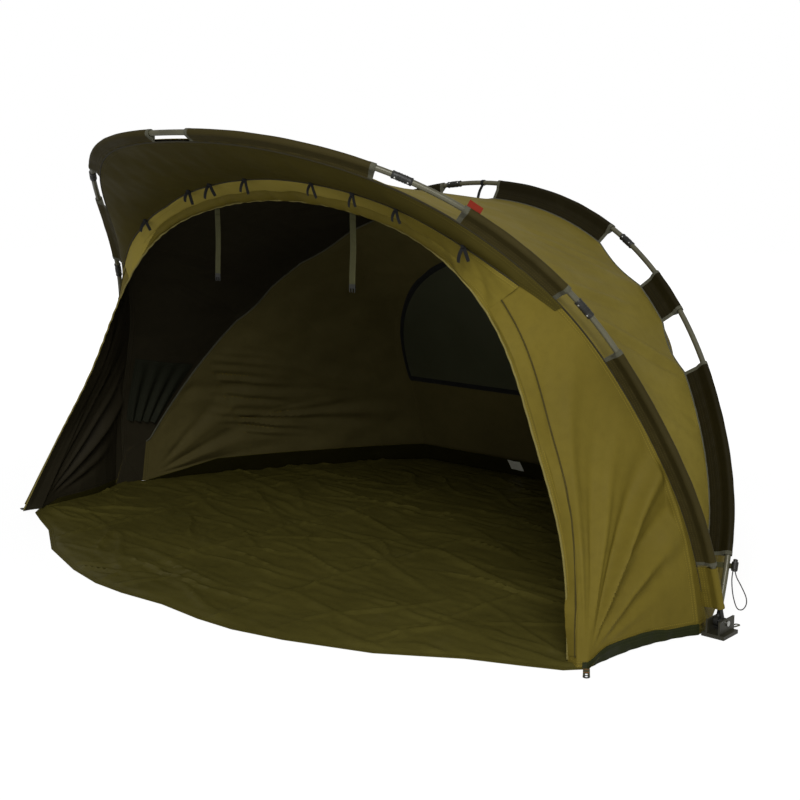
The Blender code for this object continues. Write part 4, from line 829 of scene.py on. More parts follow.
def paint_light_across(finish, colour, low, high):
    """Mixes a lighter tone into a cloth from one place across the tent to another: painted light where the visor shades
    the band.
    """
    tree = finish.node_tree
    shader = tree.nodes["Principled BSDF"]
    place = node(tree, "ShaderNodeSeparateXYZ", {0: node(tree, "ShaderNodeTexCoord").outputs["Object"]}).outputs[0]
    share = between(tree, place, low, high, 0.6, 0.0)
    base = blend_colour(tree, share, shader.inputs["Base Color"].links[0].from_socket, rgba(colour))
    tree.links.new(base, shader.inputs["Base Color"])


# Pieces


def leg_frame():
    """Point on the right rear leg beside the cord lock, with its outward, backward and upward directions."""
    centre, tangent, inward, _ = frames(REAR, [LOCK_ANGLE])
    outward = -inward[0]
    return centre[0], np.stack([outward, np.cross(tangent[0], outward), tangent[0]])


def by_leg(points):
    """World places of points given outwards, backwards and upwards from the leg."""
    centre, directions = leg_frame()
    return centre + np.asarray(points, float) @ directions


def cord_route():
    """Points along the smooth curve through the cord's steps, from the lock's foot down and back up to it."""
    knots = by_leg((LOCK_ASIDE, 0, 0)) + np.array(CORD_PATH) * (1, 1, -1)
    run = run_of(knots)
    return spline(run, knots, np.linspace(0, run[-1], 120))


def lock_cord():
    """The lock's thin cord: a round bar along the route, hanging as one loop."""
    line = cord_route()
    side = np.broadcast_to((0.3, 1.0, 0.1), line.shape)
    part = sweep(line, side, ring(14, CORD_RADIUS))
    made = put("lock_cord_braid", part, ["cord"], "rear_arch", slot="cord", stands_for=["lock_cord"])


def turned(profile, sides=40):
    """A body turned about the lock's axis, from a profile of radius and height."""
    turn = turns(sides)
    circle = np.stack([np.cos(turn), np.sin(turn), np.zeros(sides)], -1)
    profile = np.asarray(profile, float)
    middle = np.stack([np.full(len(profile), LOCK_ASIDE), profile[:, 0] * 0, profile[:, 1]], -1)
    return bar(by_leg(circle[None] * profile[:, 0, None, None] + middle[:, None]))


def lock_fittings():
    """The cord lock with its grip rings, the sprung button, and the webbing that holds it to the leg."""
    h = np.linspace(0, LOCK_LENGTH, 49)
    body = LOCK_RADIUS - 0.0012 * smooth(0.004 - h, 0, 0.004)
    body = body - 0.0005 * (np.sin(h / 0.0022 * math.pi) > 0.3) * (h > 0.005) * (h < 0.019)
    profile = [*np.stack([body, h], -1), (0.0075, LOCK_LENGTH + 0.0001), (0.0066, LOCK_LENGTH - 0.0008),
               (0.0066, LOCK_LENGTH - 0.014)]
    put("cord_lock_body", turned(profile), ["plastic"], "rear_arch", 35, slot="plastic", stands_for=["cord_lock"])
    top = LOCK_LENGTH + 0.008
    button = [(0.0058, LOCK_LENGTH - 0.007), (0.0062, LOCK_LENGTH - 0.006), (0.0062, top - 0.0016),
              (0.0058, top - 0.0006), (0.0048, top - 0.0001), (0.0022, top - 0.0004)]
    put("cord_lock_cap", turned(button), ["plastic"], "lock_button", 35, slot="plastic",
        stands_for=["cord_lock_button"])
    by_tube, by_lock = 0.0091, 0.0101
    knots = np.array([(-0.030, 0, 0), (-0.016, 0.0035, 0), (-by_tube, by_tube * 0.85, 0), (0, by_tube, 0),
                      (0.012, 0.0094, 0), (LOCK_ASIDE, by_lock, 0), (LOCK_ASIDE + 0.0045, by_lock, 0)])
    line = by_leg(spline(np.arange(7), knots, np.linspace(0, 6, 60)) + (0, 0, LOCK_LENGTH - 0.0075))
    _, directions = leg_frame()
    strap = sweep(line, directions[2], flat(0.015, 0.0016))
    put("lock_webbing", strap, ["webbing"], "rear_arch", slot="webbing", stands_for=["lock_strap"])


def by_rise(rise, pair):
    """A value that eases from its first figure on the legs to its second over the top."""
    return pair[0] + (pair[1] - pair[0]) * smooth(rise, *SPLIT_RISES)


def arch_share(share, rise):
    """How far the roof goes with its nearer arch: all the way by the front seam, not at the split, all at the rear."""
    split, held = by_rise(rise, SPLIT_SHARES), by_rise(rise, HELD_SHARES)
    return np.where(share <= split, smooth(share, split, held), smooth(share, split, 1.0))


# Each roof fold: the angle of its front end, how that changes with the share, its half width, its depth, and the
# shares at which it starts and ends
ROOF_FOLDS = ((50.1, -3.4, 0.75, 0.010, 0.10, 0.65), (48.6, -3.4, 0.60, -0.005, 0.15, 0.60),
              (45.6, -8.9, 0.80, 0.011, 0.15, 0.85), (44.0, -8.9, 0.60, -0.006, 0.20, 0.85),
              (66.4, -14.0, 0.55, 0.004, 0.45, 0.75), (68.2, -14.0, 0.50, -0.003, 0.45, 0.75),
              (69.8, -14.0, 0.50, 0.005, 0.45, 0.75), (71.4, -14.0, 0.50, -0.003, 0.50, 0.75),
              (73.0, -14.0, 0.55, 0.004, 0.50, 0.75), (26.7, 0.0, 0.22, 0.003, 0.35, 1.00),
              (32.5, -9.0, 1.20, 0.005, 0.10, 0.90), (37.5, -9.0, 1.10, -0.004, 0.30, 0.90),
              (55.0, -6.0, 1.30, 0.004, 0.15, 0.80), (61.0, -9.0, 1.20, 0.004, 0.30, 0.90),
              (19.0, -4.0, 1.30, 0.003, 0.00, 1.00))


def roof_piece(name, front, columns, node_name):
    """The front or rear piece of the roof cloth: the roof's surface with folds along slanting lines.

    A fold lies where the angle is its place plus its turn times the share, mirrored on the left, with a Gaussian
    section. The piece comes down to the ground at both ends.
    """
    c = settings().crease_depth
    angles = np.linspace(ROOF_START, 180 - ROOF_START, 420)
    rise = rise_of(angles)[:, None]
    split = by_rise(rise, SPLIT_SHARES)
    across = np.linspace(0, 1, columns)[None]
    share = split * across if front else split + (1 - split) * across
    grid = roof_surface(angles, share)
    normal, _ = grid_normals(grid)
    offset = np.zeros(share.shape)
    for place, turn, half, depth, low, high in ROOF_FOLDS:
        away = (rise - place - turn * share) / half
        offset += depth * np.exp(-(away**2)) * hump(share, low, low + 0.25, high, high + 0.25)
    left = np.where(angles[:, None] > 90, 0.75, 1.0)
    offset = offset * left + 0.0022 * waves(grid * (1, 0.35, 1), 0.10, 4) + 0.004 * waves(grid, 0.45, 9)
    edge = hump(share, 0.0, 0.04, 0.96, 1.0) * smooth(rise, ROOF_START, ROOF_START + 3)
    grid = grid + normal * (offset * edge * c)[..., None]
    weight = arch_share(share, rise)
    foot = PANEL_FOOT[0] + (PANEL_FOOT[1] - PANEL_FOOT[0]) * share[0][:, None]
    fall = np.linspace(1, 0, 9)[:-1, None]
    right = grid[0] + (foot - grid[0]) * fall[..., None]
    left = grid[-1] + (foot * (-1, 1, 1) - grid[-1]) * fall[::-1, :, None]
    grid = np.concatenate([right, grid, left])
    weight = np.concatenate([weight[:1] * (1 - fall), weight, weight[-1:] * (1 - fall[::-1])])
    part = shell(grid, sewn=(front, not front, 1, 1))
    made = put(name, part, ["roof", "inner"], slot="roof_cloth", stands_for=[node_name])
    weigh(made)


def visor_cloth():
    """The dark underside of the peak: straight lines from the band to the front seam, with soft hanging folds."""
    angles = np.linspace(VISOR_END, 180 - VISOR_END, 340)
    rise = rise_of(angles)
    low = visor_share(angles)
    shares = low[:, None] + (1 - low)[:, None] * np.linspace(0, 1, 34)[None]
    grid = front_face(angles, shares)
    normal, _ = grid_normals(grid)
    t = np.linspace(0, 1, 34)[None]
    fade = np.sin(math.pi * t) ** 0.8
    folds = 0.004 * waves(grid * (1, 0.2, 0.2), 0.16, 21) + 0.0025 * waves(grid * (1.4, 0.3, 0.3), 0.07, 5) * t
    belly = -0.012 * np.sin(math.pi * t) * np.ones(len(angles))[:, None]
    tip = 0.0034 * (1 - smooth(rise, 48.0, 50.0))[:, None]
    offset = (folds * fade + belly) * smooth(rise, VISOR_END, 54.0)[:, None] * settings().crease_depth - tip
    grid = grid + normal * offset[..., None]
    part = shell(grid, sewn=(1, 1, 0, 0))
    made = put("visor_cloth", part, ["visor"], "front_arch", slot="visor_cloth", stands_for=["visor"])


# Folds of the band and of the wings, each with its angle, half width in degrees, depth and reach in metres
BAND_RAYS = ((-75.0, 6.0, 0.005, 0.30), (-58.0, 5.0, -0.005, 0.30), (-42.0, 4.5, 0.007, 0.40),
             (-30.0, 4.0, -0.006, 0.40), (-18.0, 4.5, 0.008, 0.50), (-4.0, 5.0, -0.006, 0.45), (12.0, 6.0, 0.007, 0.40),
             (34.0, 7.0, -0.006, 0.30), (60.0, 8.0, 0.006, 0.30), (88.0, 8.0, -0.004, 0.25))


def band_cloth():
    """The light band: a flat upper part and, below a pressed line, a rolled hem that bulges as a half sine."""
    angles = np.linspace(BAND_END, 180 - BAND_END, 420)
    high = visor_share(angles)
    t = np.linspace(0, 1, 30)[None]
    grid = front_face(angles, high[:, None] * t)
    normal, _ = grid_normals(grid, (0, -1, 0))
    bulge = np.where(t < HEM_SHARE, HEM_BULGE * np.sin(math.pi * np.clip(t / HEM_SHARE, 0, 1)), 0.0)
    press = -0.003 * np.exp(-(((t - HEM_SHARE) / 0.05) ** 2))
    pucker = 0.0022 * waves(grid * (1, 0.3, 0.3), 0.035, 31) * (0.4 + (t < HEM_SHARE)) + 0.003 * waves(grid, 0.12, 8)
    ends = smooth(np.sin(math.pi * t) ** 0.5, 0.0, 0.5)
    rise = rise_of(angles)[:, None]
    knot, below, before = front_face(np.array([55.3, 50.0]), np.full((2, 2), (0.62, 0.0))).reshape(4, 3)[:3]
    fan = rays(grid, knot, before - knot, below - knot, BAND_RAYS)
    offset = (bulge + press) * smooth(rise, 54.0, 64.0) + pucker * ends * (0.4 + 0.6 * smooth(rise, BAND_END, 52.0))
    grid = grid + normal * ((offset + fan * ends) * settings().crease_depth)[..., None]
    part = shell(grid, toward=(0, -1, 0), sewn=(1, 1, 0, 0))
    column = np.arange(grid.shape[1] - 1)[None]
    rolled = column < HEM_SHARE * column.size * smooth(rise[1:], 52.0, 62.0)
    part["which"][: rolled.size] = np.where(rolled, 2, 0).ravel()
    made = put("door_band_cloth", part, ["band", "inner", "hem"], "front_arch", slot="band_cloth",
               stands_for=["door_band"])


WING_APEX = (1.1677, -0.4336, 0.010)
WING_RAYS = ((20.0, 4.0, 0.008, 0.35), (27.0, 3.5, -0.008, 0.45), (34.5, 3.2, 0.022, 0.55), (43.0, 3.2, -0.022, 0.75),
             (50.5, 2.2, 0.028, 0.90), (56.0, 2.2, -0.014, 0.75), (63.5, 1.9, 0.011, 0.70), (69.5, 1.8, -0.008, 0.70),
             (75.5, 1.8, 0.011, 0.95), (81.0, 1.7, -0.008, 0.85), (87.0, 1.7, 0.010, 0.95), (93.0, 1.7, -0.007, 0.75))


def wing_angles():
    """Angles of the wing's rows, closer together near its foot."""
    return np.concatenate([np.linspace(0, 3, 12)[:-1], np.linspace(3, BAND_END, 170)])


def wing_grid():
    """The right wing: straight lines from the doorway's edge to the seam, drawn down to its foot, with its folds."""
    angles = wing_angles()
    count = 128
    shares = np.tile(np.linspace(0, 1, count), (len(angles), 1))
    grid = front_face(angles, shares)
    places = np.array([(HALF_SPAN * a, -DOOR_FOOT_DEPTH * b) for a, b in WING_FOOT_SHARES])
    high = np.where(np.arange(len(places)) > 2, SHEET_THICKNESS / 2 + SIDE_LIP_HEIGHT, SHEET_THICKNESS) + SHEET_GAP
    knots = np.linspace(0, 1, len(places))
    foot = np.stack([np.interp(shares[0], knots, v) for v in (*places.T, high)], -1)
    low = np.clip(1 - angles / WING_FOOT_ANGLE, 0, 1)[:, None]
    grid = grid + (foot - grid[0])[None] * (low**1.7)[..., None]
    normal, _ = grid_normals(grid, (0.8, -0.6, 0))
    far = np.linalg.norm(grid - WING_APEX, axis=-1)
    offset = rays(grid, WING_APEX, (0.2, 0.98, 0), (0, 0, 1), WING_RAYS) * np.clip(far / 0.30, 0, 1)
    spread = np.sin(5 * math.pi * shares) * np.sin(math.pi * shares) * low * np.clip(angles / 9.0, 0, 1)[:, None]
    offset = offset + 0.004 * spread + 0.0025 * waves(grid, 0.16, 12) + 0.004 * waves(grid, 0.5, 3)
    hold = hump(shares, 0.0, 0.05, 0.93, 1.0) * smooth(angles, 0.0, 3.0)[:, None]
    hold = hold * (1 - smooth(angles, 46, 48))[:, None]
    pull = np.clip(1 - shares / 0.22, 0, 1) * edge_pull(angles)[:, None]
    return grid + normal * (offset * hold * settings().crease_depth)[..., None], grid, normal, pull[..., None]


def edge_pull(rise):
    """How much of its pull the left opening edge takes at an angle from its foot: a falling power."""
    return np.clip(1 - rise / BAND_END, 0, 1) ** PULL_POWER


def on_grid(grid, distance):
    """The line on a grid at a distance from its first column, measured along each row."""
    total = runs(grid)[0][:, -1]
    place = np.clip(distance / total, 0, 1) * (grid.shape[1] - 1)
    i = np.minimum(place.astype(int), grid.shape[1] - 2)
    row = np.arange(len(grid))
    share = (place - i)[:, None]
    return grid[row, i] * (1 - share) + grid[row, i + 1] * share


def wings():
    """Both side wings, each with its zip along the doorway, its leg's gusset and cuff and the skirt along its foot."""
    right, flat_wing, normal, pull = wing_grid()
    calm = smooth(np.linspace(0, 1, right.shape[1]), 0.12, 0.35)[None, :, None]
    for side, hand in ((1, "right"), (-1, "left")):
        calmed = right if side > 0 else flat_wing + (right - flat_wing) * calm
        grid = calmed * (side, 1, 1) + LEFT_PULL * pull * (side < 0)
        outward = normal if side > 0 else grid_normals(grid, (-0.8, -0.6, 0))[0]
        part = shell(grid, sewn=(1, 1, 1, 0))
        made = put("wing_%s_cloth" % hand, part, ["wing", "inner"], "front_arch", slot="roof_cloth",
                   stands_for=["wing_" + hand], settled=True)
        for name, distance, lift, size, finish in ZIP_PARTS:
            line = on_grid(grid, distance)[4:] + outward[4:, 2] * lift
            across = on_grid(grid, distance + 0.01)[4:] - on_grid(grid, distance)[4:]
            part = sweep(line, across, flat(*size))
            put("%s_%s" % (name, hand), part, [finish], "front_arch", slot="roof_cloth", settled=True)
        seam = front_seam(wing_angles())[:, None] * (side, 1, 1)
        share = np.linspace(0, 1, 9)[None, :, None]
        gusset = grid[:, -1:] * (1 - share) + seam * share
        gusset = gusset[: int(np.searchsorted(wing_angles(), WING_FOOT_ANGLE))]
        part = shell(gusset, sewn=(0, 1, 1, 0))
        put("leg_gusset_" + hand, part, ["wing", "inner"], "front_arch", slot="roof_cloth", settled=True)
        skirt(grid, outward, hand)
        span = (2.0, 7.7) if side > 0 else (172.3, 178.0)
        cuff = sleeve(FRONT, span, front_web, (0.12, 0.4))
        put("leg_cuff_" + hand, cuff, ["wing", "wing"], "front_arch", slot="roof_cloth")


def skirt(grid, outward, hand):
    """A dark strip along a wing's foot, down to the ground: a little proud of the wing, crumpled, lower at the leg."""
    count = int(np.searchsorted(grid[:, 60, 2], grid[0, 60, 2] + settings().skirt_height)) + 1
    across = np.linspace(0, 1, grid.shape[1])
    top = (0.35 + 0.65 * (1 - across) ** 1.5 + 0.30 * waves(grid[0], 0.13, 23))[None, :, None]
    share = np.linspace(0, 1, 12)[:, None, None]
    high = grid[0][None] * (1 - share * top) + grid[count][None] * share * top
    low = grid[0] * (1, 1, 0) + (0, 0, 0.0016)
    rows = np.concatenate([low[None] * (1 - share[:-1]) + grid[0][None] * share[:-1], high])
    proud = unit(outward[2] * (1, 1, 0))[None]
    depth = 0.0034 + 0.0026 * np.maximum(waves(rows * (1, 1, 1.6), 0.045, 17), -0.4)[..., None]
    rows = rows + proud * depth
    part = shell(rows[:, 24:], 0.0012, sewn=(0, 0, 0, 1))
    put("skirt_" + hand, part, ["skirt"], "front_arch", slot="floor_cloth", settled=True)


def sleeve(stations, span, width_of, ends):
    """A pole sleeve: a teardrop pocket round the tube that closes into a flat doubled web, gathered along its seam.

    The section is a circle of the pocket's radius over 256 degrees, two tangents that meet, and the web's two faces.
    """
    step = 0.5
    marks = [span[1]], span[0] + np.array(ends), span[1] - np.array(ends)
    angles = np.unique(np.concatenate([np.arange(span[0], span[1], step), *marks]))
    centre, _, inward, normal = frames(stations, angles)
    width = width_of(angles)
    arc = np.radians(np.linspace(SLEEVE_OPEN, 360 - SLEEVE_OPEN, 26))
    out_u = np.concatenate([SLEEVE_RADIUS * np.cos(arc), [0.014, 0.019, SLEEVE_MEET]])
    out_v = np.concatenate([SLEEVE_RADIUS * np.sin(arc), [-0.0062, -0.0030, -WEB_HALF]])
    share = np.linspace(0, 1, 8)[1:]
    web_u = SLEEVE_MEET + (width[:, None] - SLEEVE_MEET) * share[None]
    hem = np.minimum(np.abs(angles - span[0]), np.abs(span[1] - angles))[:, None]
    swell = 1 + 0.05 * waves(centre, 0.05, 2)[:, None] * smooth(hem, 0, 1) + 0.05 * (hem < ends[-1])
    wave = np.sin(angles * 3.1 + 0.8 * np.sin(angles * 0.9))[:, None]
    ripple = 0.0016 * wave * np.sin(math.pi * share)[None] * smooth(hem, 0, 1.5)
    column = np.ones((len(angles), 1))
    pocket_u = out_u[None] * np.where(out_u < SLEEVE_MEET, swell, 1)
    u = np.concatenate([pocket_u, web_u, web_u[:, ::-1], SLEEVE_MEET * column], 1)
    v = np.concatenate([out_v[None] * swell, ripple - WEB_HALF, ripple[:, ::-1] + WEB_HALF, WEB_HALF * column], 1)
    tail_u, tail_v = np.array([0.019, 0.014]), np.array([0.0030, 0.0062])
    u = np.concatenate([u, tail_u * column], 1)
    v = np.concatenate([v, tail_v * swell], 1)
    outer = centre[:, None] + u[..., None] * inward[:, None] + v[..., None] * normal[:, None]
    turn = np.arctan2(v, u)
    bore = SLEEVE_BORE_RADIUS * np.stack([np.cos(turn), np.sin(turn)], -1)
    inner = centre[:, None] + bore[..., :1] * inward[:, None] + bore[..., 1:] * normal[:, None]
    return ring_pair(outer, inner, angles, span, ends[-1])


def torus(count, around):
    """Quads of a grid of points that closes on itself both ways."""
    i, j = np.arange(count)[:, None], np.arange(around)
    after, beside = (i + 1) % count, (j + 1) % around
    corners = (i * around + j, i * around + beside, after * around + beside, after * around + j)
    return np.stack([corner.ravel() for corner in corners], -1)


def ring_pair(outer, inner, angles, span, binding):
    """A closed tube wall from outer rings one way and inner rings back, bound at its two cut ends."""
    rings = np.concatenate([outer, inner[::-1]])
    count, around = rings.shape[:2]
    run = run_of(outer[:, 8])
    run = np.concatenate([run, run[::-1]])
    girth = np.zeros(outer.shape[:2])
    girth[:, 1:] = np.cumsum(np.linalg.norm(np.diff(outer, axis=1), axis=-1), axis=1)
    girth = np.concatenate([girth, girth[::-1]])
    weave = np.stack([girth, np.repeat(run[:, None], around, 1)], -1).reshape(-1, 2)
    far = np.linalg.norm(outer - outer[:, 32:33], axis=-1)
    far = np.concatenate([far, far[::-1] + 1])
    seam = np.stack([np.repeat(run[:, None], around, 1), far], -1).reshape(-1, 2)
    place = np.concatenate([angles, angles[::-1]])
    bound = (place < span[0] + binding - 1e-6) | (place > span[1] - binding + 1e-6)
    which = np.repeat((bound & bound[(np.arange(count) + 1) % count]).astype(int), around)
    return outwards({"points": rings.reshape(-1, 3), "faces": [torus(count, around)], "weave": weave, "seam": seam,
                     "which": which})


def seam_piping(name, line, side, body, finish="piping", radius=None):
    """A round cord sewn along a seam."""
    put(name, sweep(line, side, ring(10, radius or settings().piping_radius)), [finish], body, slot="sleeve_cloth")


def sleeves():
    """All pole sleeves, the piping along both arches' seams, and the strap at the rear arch's crown."""
    for label, stations, spans, width_of, body in (("front", FRONT, FRONT_SLEEVES, front_web, "front_arch"),
                                                   ("rear", REAR, REAR_SLEEVES, rear_web, "rear_arch")):
        for place, span in spans.items():
            part = sleeve(stations, span, width_of, (0.12, 0.75))
            name = "%s_sleeve_%s" % (label, place)
            put(name + "_cloth", part, [label + "_sleeve", "binding"], body, slot="sleeve_cloth", stands_for=[name])
    angles = np.linspace(ROOF_START, 180 - ROOF_START, 500)
    _, _, inward, _ = frames(FRONT, angles)
    seam_piping("front_seam_piping", front_seam(angles), inward, "front_arch")
    high = np.abs(angles - 90) < 90 - WALL_START
    seam_piping("rear_seam_piping", rear_seam(angles[high]), inward[high], "rear_arch", "binding", REAR_PIPING_RADIUS)
    centre, _, inward, normal = frames(REAR, [90.0])
    share = np.linspace(0, 1, 30)[:, None]
    reach = 0.0098 + (rear_web([90.0])[0] - 0.008) * share
    line = centre[0] + inward[0] * reach + normal[0] * 0.004 * np.sin(math.pi * share)
    loop_turn = np.radians(np.linspace(0, 340, 40))[:, None]
    loop = centre[0] + 0.0095 * (np.cos(loop_turn) * inward[0] + np.sin(loop_turn) * normal[0])
    parts = [sweep(line, (1, 0, 0), flat(0.012, 0.0016)), sweep(loop, (1, 0, 0), flat(0.012, 0.0014))]
    put("crown_strap", parts, ["tape"], "rear_arch", slot="webbing")


def wall_inner(count_foot, count_edge, count_over):
    """Inner line of the back wall's right side: along the foot, up the panel's edge and over half the window."""
    foot_line = base_line()[: 2 * len(BASE_SHARES) - 1]
    spread = np.linspace(0, len(foot_line) - 1, count_foot)
    low = SHEET_THICKNESS + SHEET_GAP
    places = [np.interp(spread, np.arange(len(foot_line)), foot_line[:, k]) for k in (0, 1)]
    foot = np.stack([*places, np.full(count_foot, low)], -1)
    up = np.linspace(low, WINDOW_SILL, count_edge + 1)[1:]
    share = (up - low) / (WINDOW_SILL - low)
    edge = np.stack([BACK_HALF_WIDTH + (WINDOW_HALF_WIDTH - BACK_HALF_WIDTH) * share, wall_depth(up), up], -1)
    over = window_line(np.linspace(0, math.pi / 2, count_over + 1)[1:])
    return np.concatenate([foot, edge, over])


def wall_side():
    """The back wall's right side: straight lines from its inner line to the rear seam, bellied as a half sine."""
    counts = (84, 36, 100)
    inner = wall_inner(*counts)
    rows = (0, counts[0] - 1, counts[0] + counts[1] - 1, len(inner) - 1)
    angles = np.interp(np.arange(len(inner)), rows, (WALL_START, 42.0, 50.0, 90.0))
    seam = rear_seam(angles)
    shares = np.linspace(0, 1, 88)[None, :, None]
    side = inner[:, None] * (1 - shares) + seam[:, None] * shares
    away = unit(side - (0.0, BACK_DEPTH / 3, REAR_HEIGHT / 3))
    fullness = np.sin(math.pi * shares) * np.sin(np.linspace(0, math.pi, len(inner)))[:, None, None]
    return side + away * 0.020 * fullness


# Folds of the back wall, each with its angle, half width in degrees, depth and reach in metres: from the corner of the
# window, from the foot beside the block, and along the side
CORNER_RAYS = ((30, 9, 0.008, 0.55), (52, 6, -0.006, 0.5), (68, 5, 0.008, 0.6), (84, 5, -0.005, 0.5),
               (100, 6, 0.006, 0.5), (120, 7, -0.004, 0.5), (160, 8, 0.006, 0.5), (190, 9, -0.005, 0.5),
               (215, 9, 0.006, 0.5))
LONG_FOLDS = ((5.0, 2.2, 0.007, 0.75), (0.0, 1.8, -0.006, 0.75), (-4.5, 2.2, 0.007, 0.75), (13.0, 3.0, 0.004, 0.55))
FOOT_RAYS = ((9.0, 3.0, 0.008, 0.7), (17.0, 3.0, -0.006, 0.7), (25.0, 3.5, 0.009, 0.75), (36.0, 4.0, -0.005, 0.6),
             (46.0, 4.0, 0.007, 0.6))


def gathers(grid, mirror, seed):
    """Level ripples that start at the wall's side seam and fade along it: sines of the height, in a raised window."""
    begin = 0.25 + 0.55 * np.clip(0.51 - grid[..., 2], 0, 0.4)
    along = grid[..., 1] - begin
    level = grid[..., 2] + 0.16 * along
    shape = np.sin(level * 2 * math.pi / 0.044 + 1.2 * np.sin(level * 23 + seed))
    shape = shape + 0.3 * np.sin(level * 2 * math.pi / 0.031 + 3 * along)
    window_up = hump(grid[..., 2], 0.10, 0.18, 0.44, 0.54)
    window_along = hump(along, 0.0, 0.015, 0.04, 0.30)
    before = hump(along, -0.10, -0.01, -0.02, 0.0) * hump(grid[..., 2], 0.16, 0.22, 0.30, 0.36)
    ridge = -0.005 * np.exp(-((along / 0.008) ** 2)) * (1 - smooth(grid[..., 2], 0.50, 0.56))
    fold = rays(grid, (mirror * 1.043, 0.447, 0.225), (-0.49 * mirror, 0.86, -0.115), (0, 0, 1), LONG_FOLDS)
    return 0.0060 * shape * window_up * (window_along + 0.6 * before) + ridge + fold


def back_wall():
    """The back wall: two ruled sides and the panel below the window, with folds gathered near the side seams."""
    side = wall_side()
    normal, _ = grid_normals(side)
    share = np.linspace(0, 1, side.shape[1])[None]
    c = settings().crease_depth
    parts = []
    low = SHEET_THICKNESS + SHEET_GAP
    for mirror, seed in ((1, 3), (-1, 14)):
        flip = np.array([mirror, 1, 1])
        grid, facing = side * flip, normal * flip
        corner = (mirror * 0.64, 1.02, 0.30)
        offset = rays(grid, corner, (-mirror, -0.4, 0), (0, 0, 1), CORNER_RAYS)
        offset = offset + 0.0035 * waves(grid * (1, 1, 1.8), 0.14, seed) + 0.006 * waves(grid, 0.5, seed + 1)
        foot = rays(grid, (mirror * 1.215, 0.10, 0.02), (-0.40 * mirror, 0.92, 0), (0, 0, 1), FOOT_RAYS)
        offset = offset + gathers(grid, mirror, seed) + foot
        hold = hump(share, 0, 0.10, 0.93, 1) * smooth(np.arange(len(grid)), 0, 10)[:, None]
        hold = hold * (1 - smooth(np.arange(len(grid)), len(grid) - 12, len(grid) - 1))[:, None]
        part = shell(grid + facing * (offset * hold * c)[..., None], sewn=(1, 1, 1, 0))
        parts.append(part)
        reach = np.linspace(0.02, 1.07, 40)[None, :, None]
        seam = rear_seam(np.linspace(ROOF_START - 1.5, WALL_START, 16))[:, None] * flip
        part = shell(grid[:1, :1] * (1 - reach) + seam * reach, sewn=(0, 1, 0, 0))
        # The panel's inner face takes the inner finish, which is painted shade
        part["which"] = part["which"] * 2
        parts.append(part)
    up = np.linspace(low, WINDOW_SILL, 40)
    half = BACK_HALF_WIDTH + (WINDOW_HALF_WIDTH - BACK_HALF_WIDTH) * (up - low) / (WINDOW_SILL - low)
    across = np.linspace(-1, 1, 110)[None] * half[:, None]
    level = np.tile(up[:, None], (1, 110))
    panel = np.stack([across, wall_depth(level), level], -1)
    fall = np.sin(math.pi * np.linspace(0, 1, 40))[:, None] * np.sin(math.pi * np.linspace(0, 1, 110))[None]
    ripple = (0.004 * waves(panel * (1, 1, 0.35), 0.16, 6) + 0.004 * waves(panel, 0.4, 2)) * fall
    panel = panel + np.array([0, 1.0, 0.15]) * (ripple * c)[..., None]
    parts.append(shell(panel, sewn=(1, 1, 1, 1)))
    finishes = ["wall_out", "wall", "inner"]
    made = put("back_wall_cloth", parts, finishes, "rear_arch", slot="wall_cloth", stands_for=["rear_wall"],
               settled=True)


def window():
    """The mesh in the window's opening, and the zip round it on both faces."""
    turn = np.linspace(0, math.pi, 130)
    top = window_line(turn, 0.0004)
    sill = top.copy()
    sill[:, 2] = top[0, 2]
    sill[:, 1] = wall_depth(sill[:, 2])
    shares = np.linspace(0, 1, 46)[None, :, None]
    grid = top[:, None] * (1 - shares) + sill[:, None] * shares
    fall = np.sin(math.pi * shares[..., 0]) * np.sin(turn)[:, None]
    billow = (0.006 * waves(grid, 0.22, 44) + 0.003 * waves(grid * (1, 1, 0.3), 0.07, 4)) * fall
    grid = grid + np.array([0, 1.0, 0.1]) * billow[..., None]
    part = shell(grid, 0.0010, sewn=(1, 1, 0, 0))
    made = put("window_mesh_cloth", part, ["mesh"], "rear_arch", slot="mesh_cloth", stands_for=["window_mesh"],
               settled=True)
    line = window_line(turn)
    across = np.linspace(-WINDOW_HALF_WIDTH, WINDOW_HALF_WIDTH, 90)
    back = np.stack([across, np.full(90, wall_depth(WINDOW_SILL)), np.full(90, WINDOW_SILL)], -1)
    lean = unit(np.array([0.0, WINDOW_TOP - WINDOW_SILL, -(wall_depth(WINDOW_TOP) - wall_depth(WINDOW_SILL))]))
    parts = []
    width = settings().zip_width
    for path in (line, back):
        for face in (-1, 1):
            place = path + lean * face * 0.0016
            edge = np.cross(np.gradient(place, axis=0), lean)
            parts.append(sweep(place, edge, flat(width, 0.0014)))
            parts.append(sweep(place + lean * face * 0.0012, edge, ring(8, 0.0022, 0.7)))
    put("window_zip", parts, ["tape"], "rear_arch", slot="webbing", settled=True)


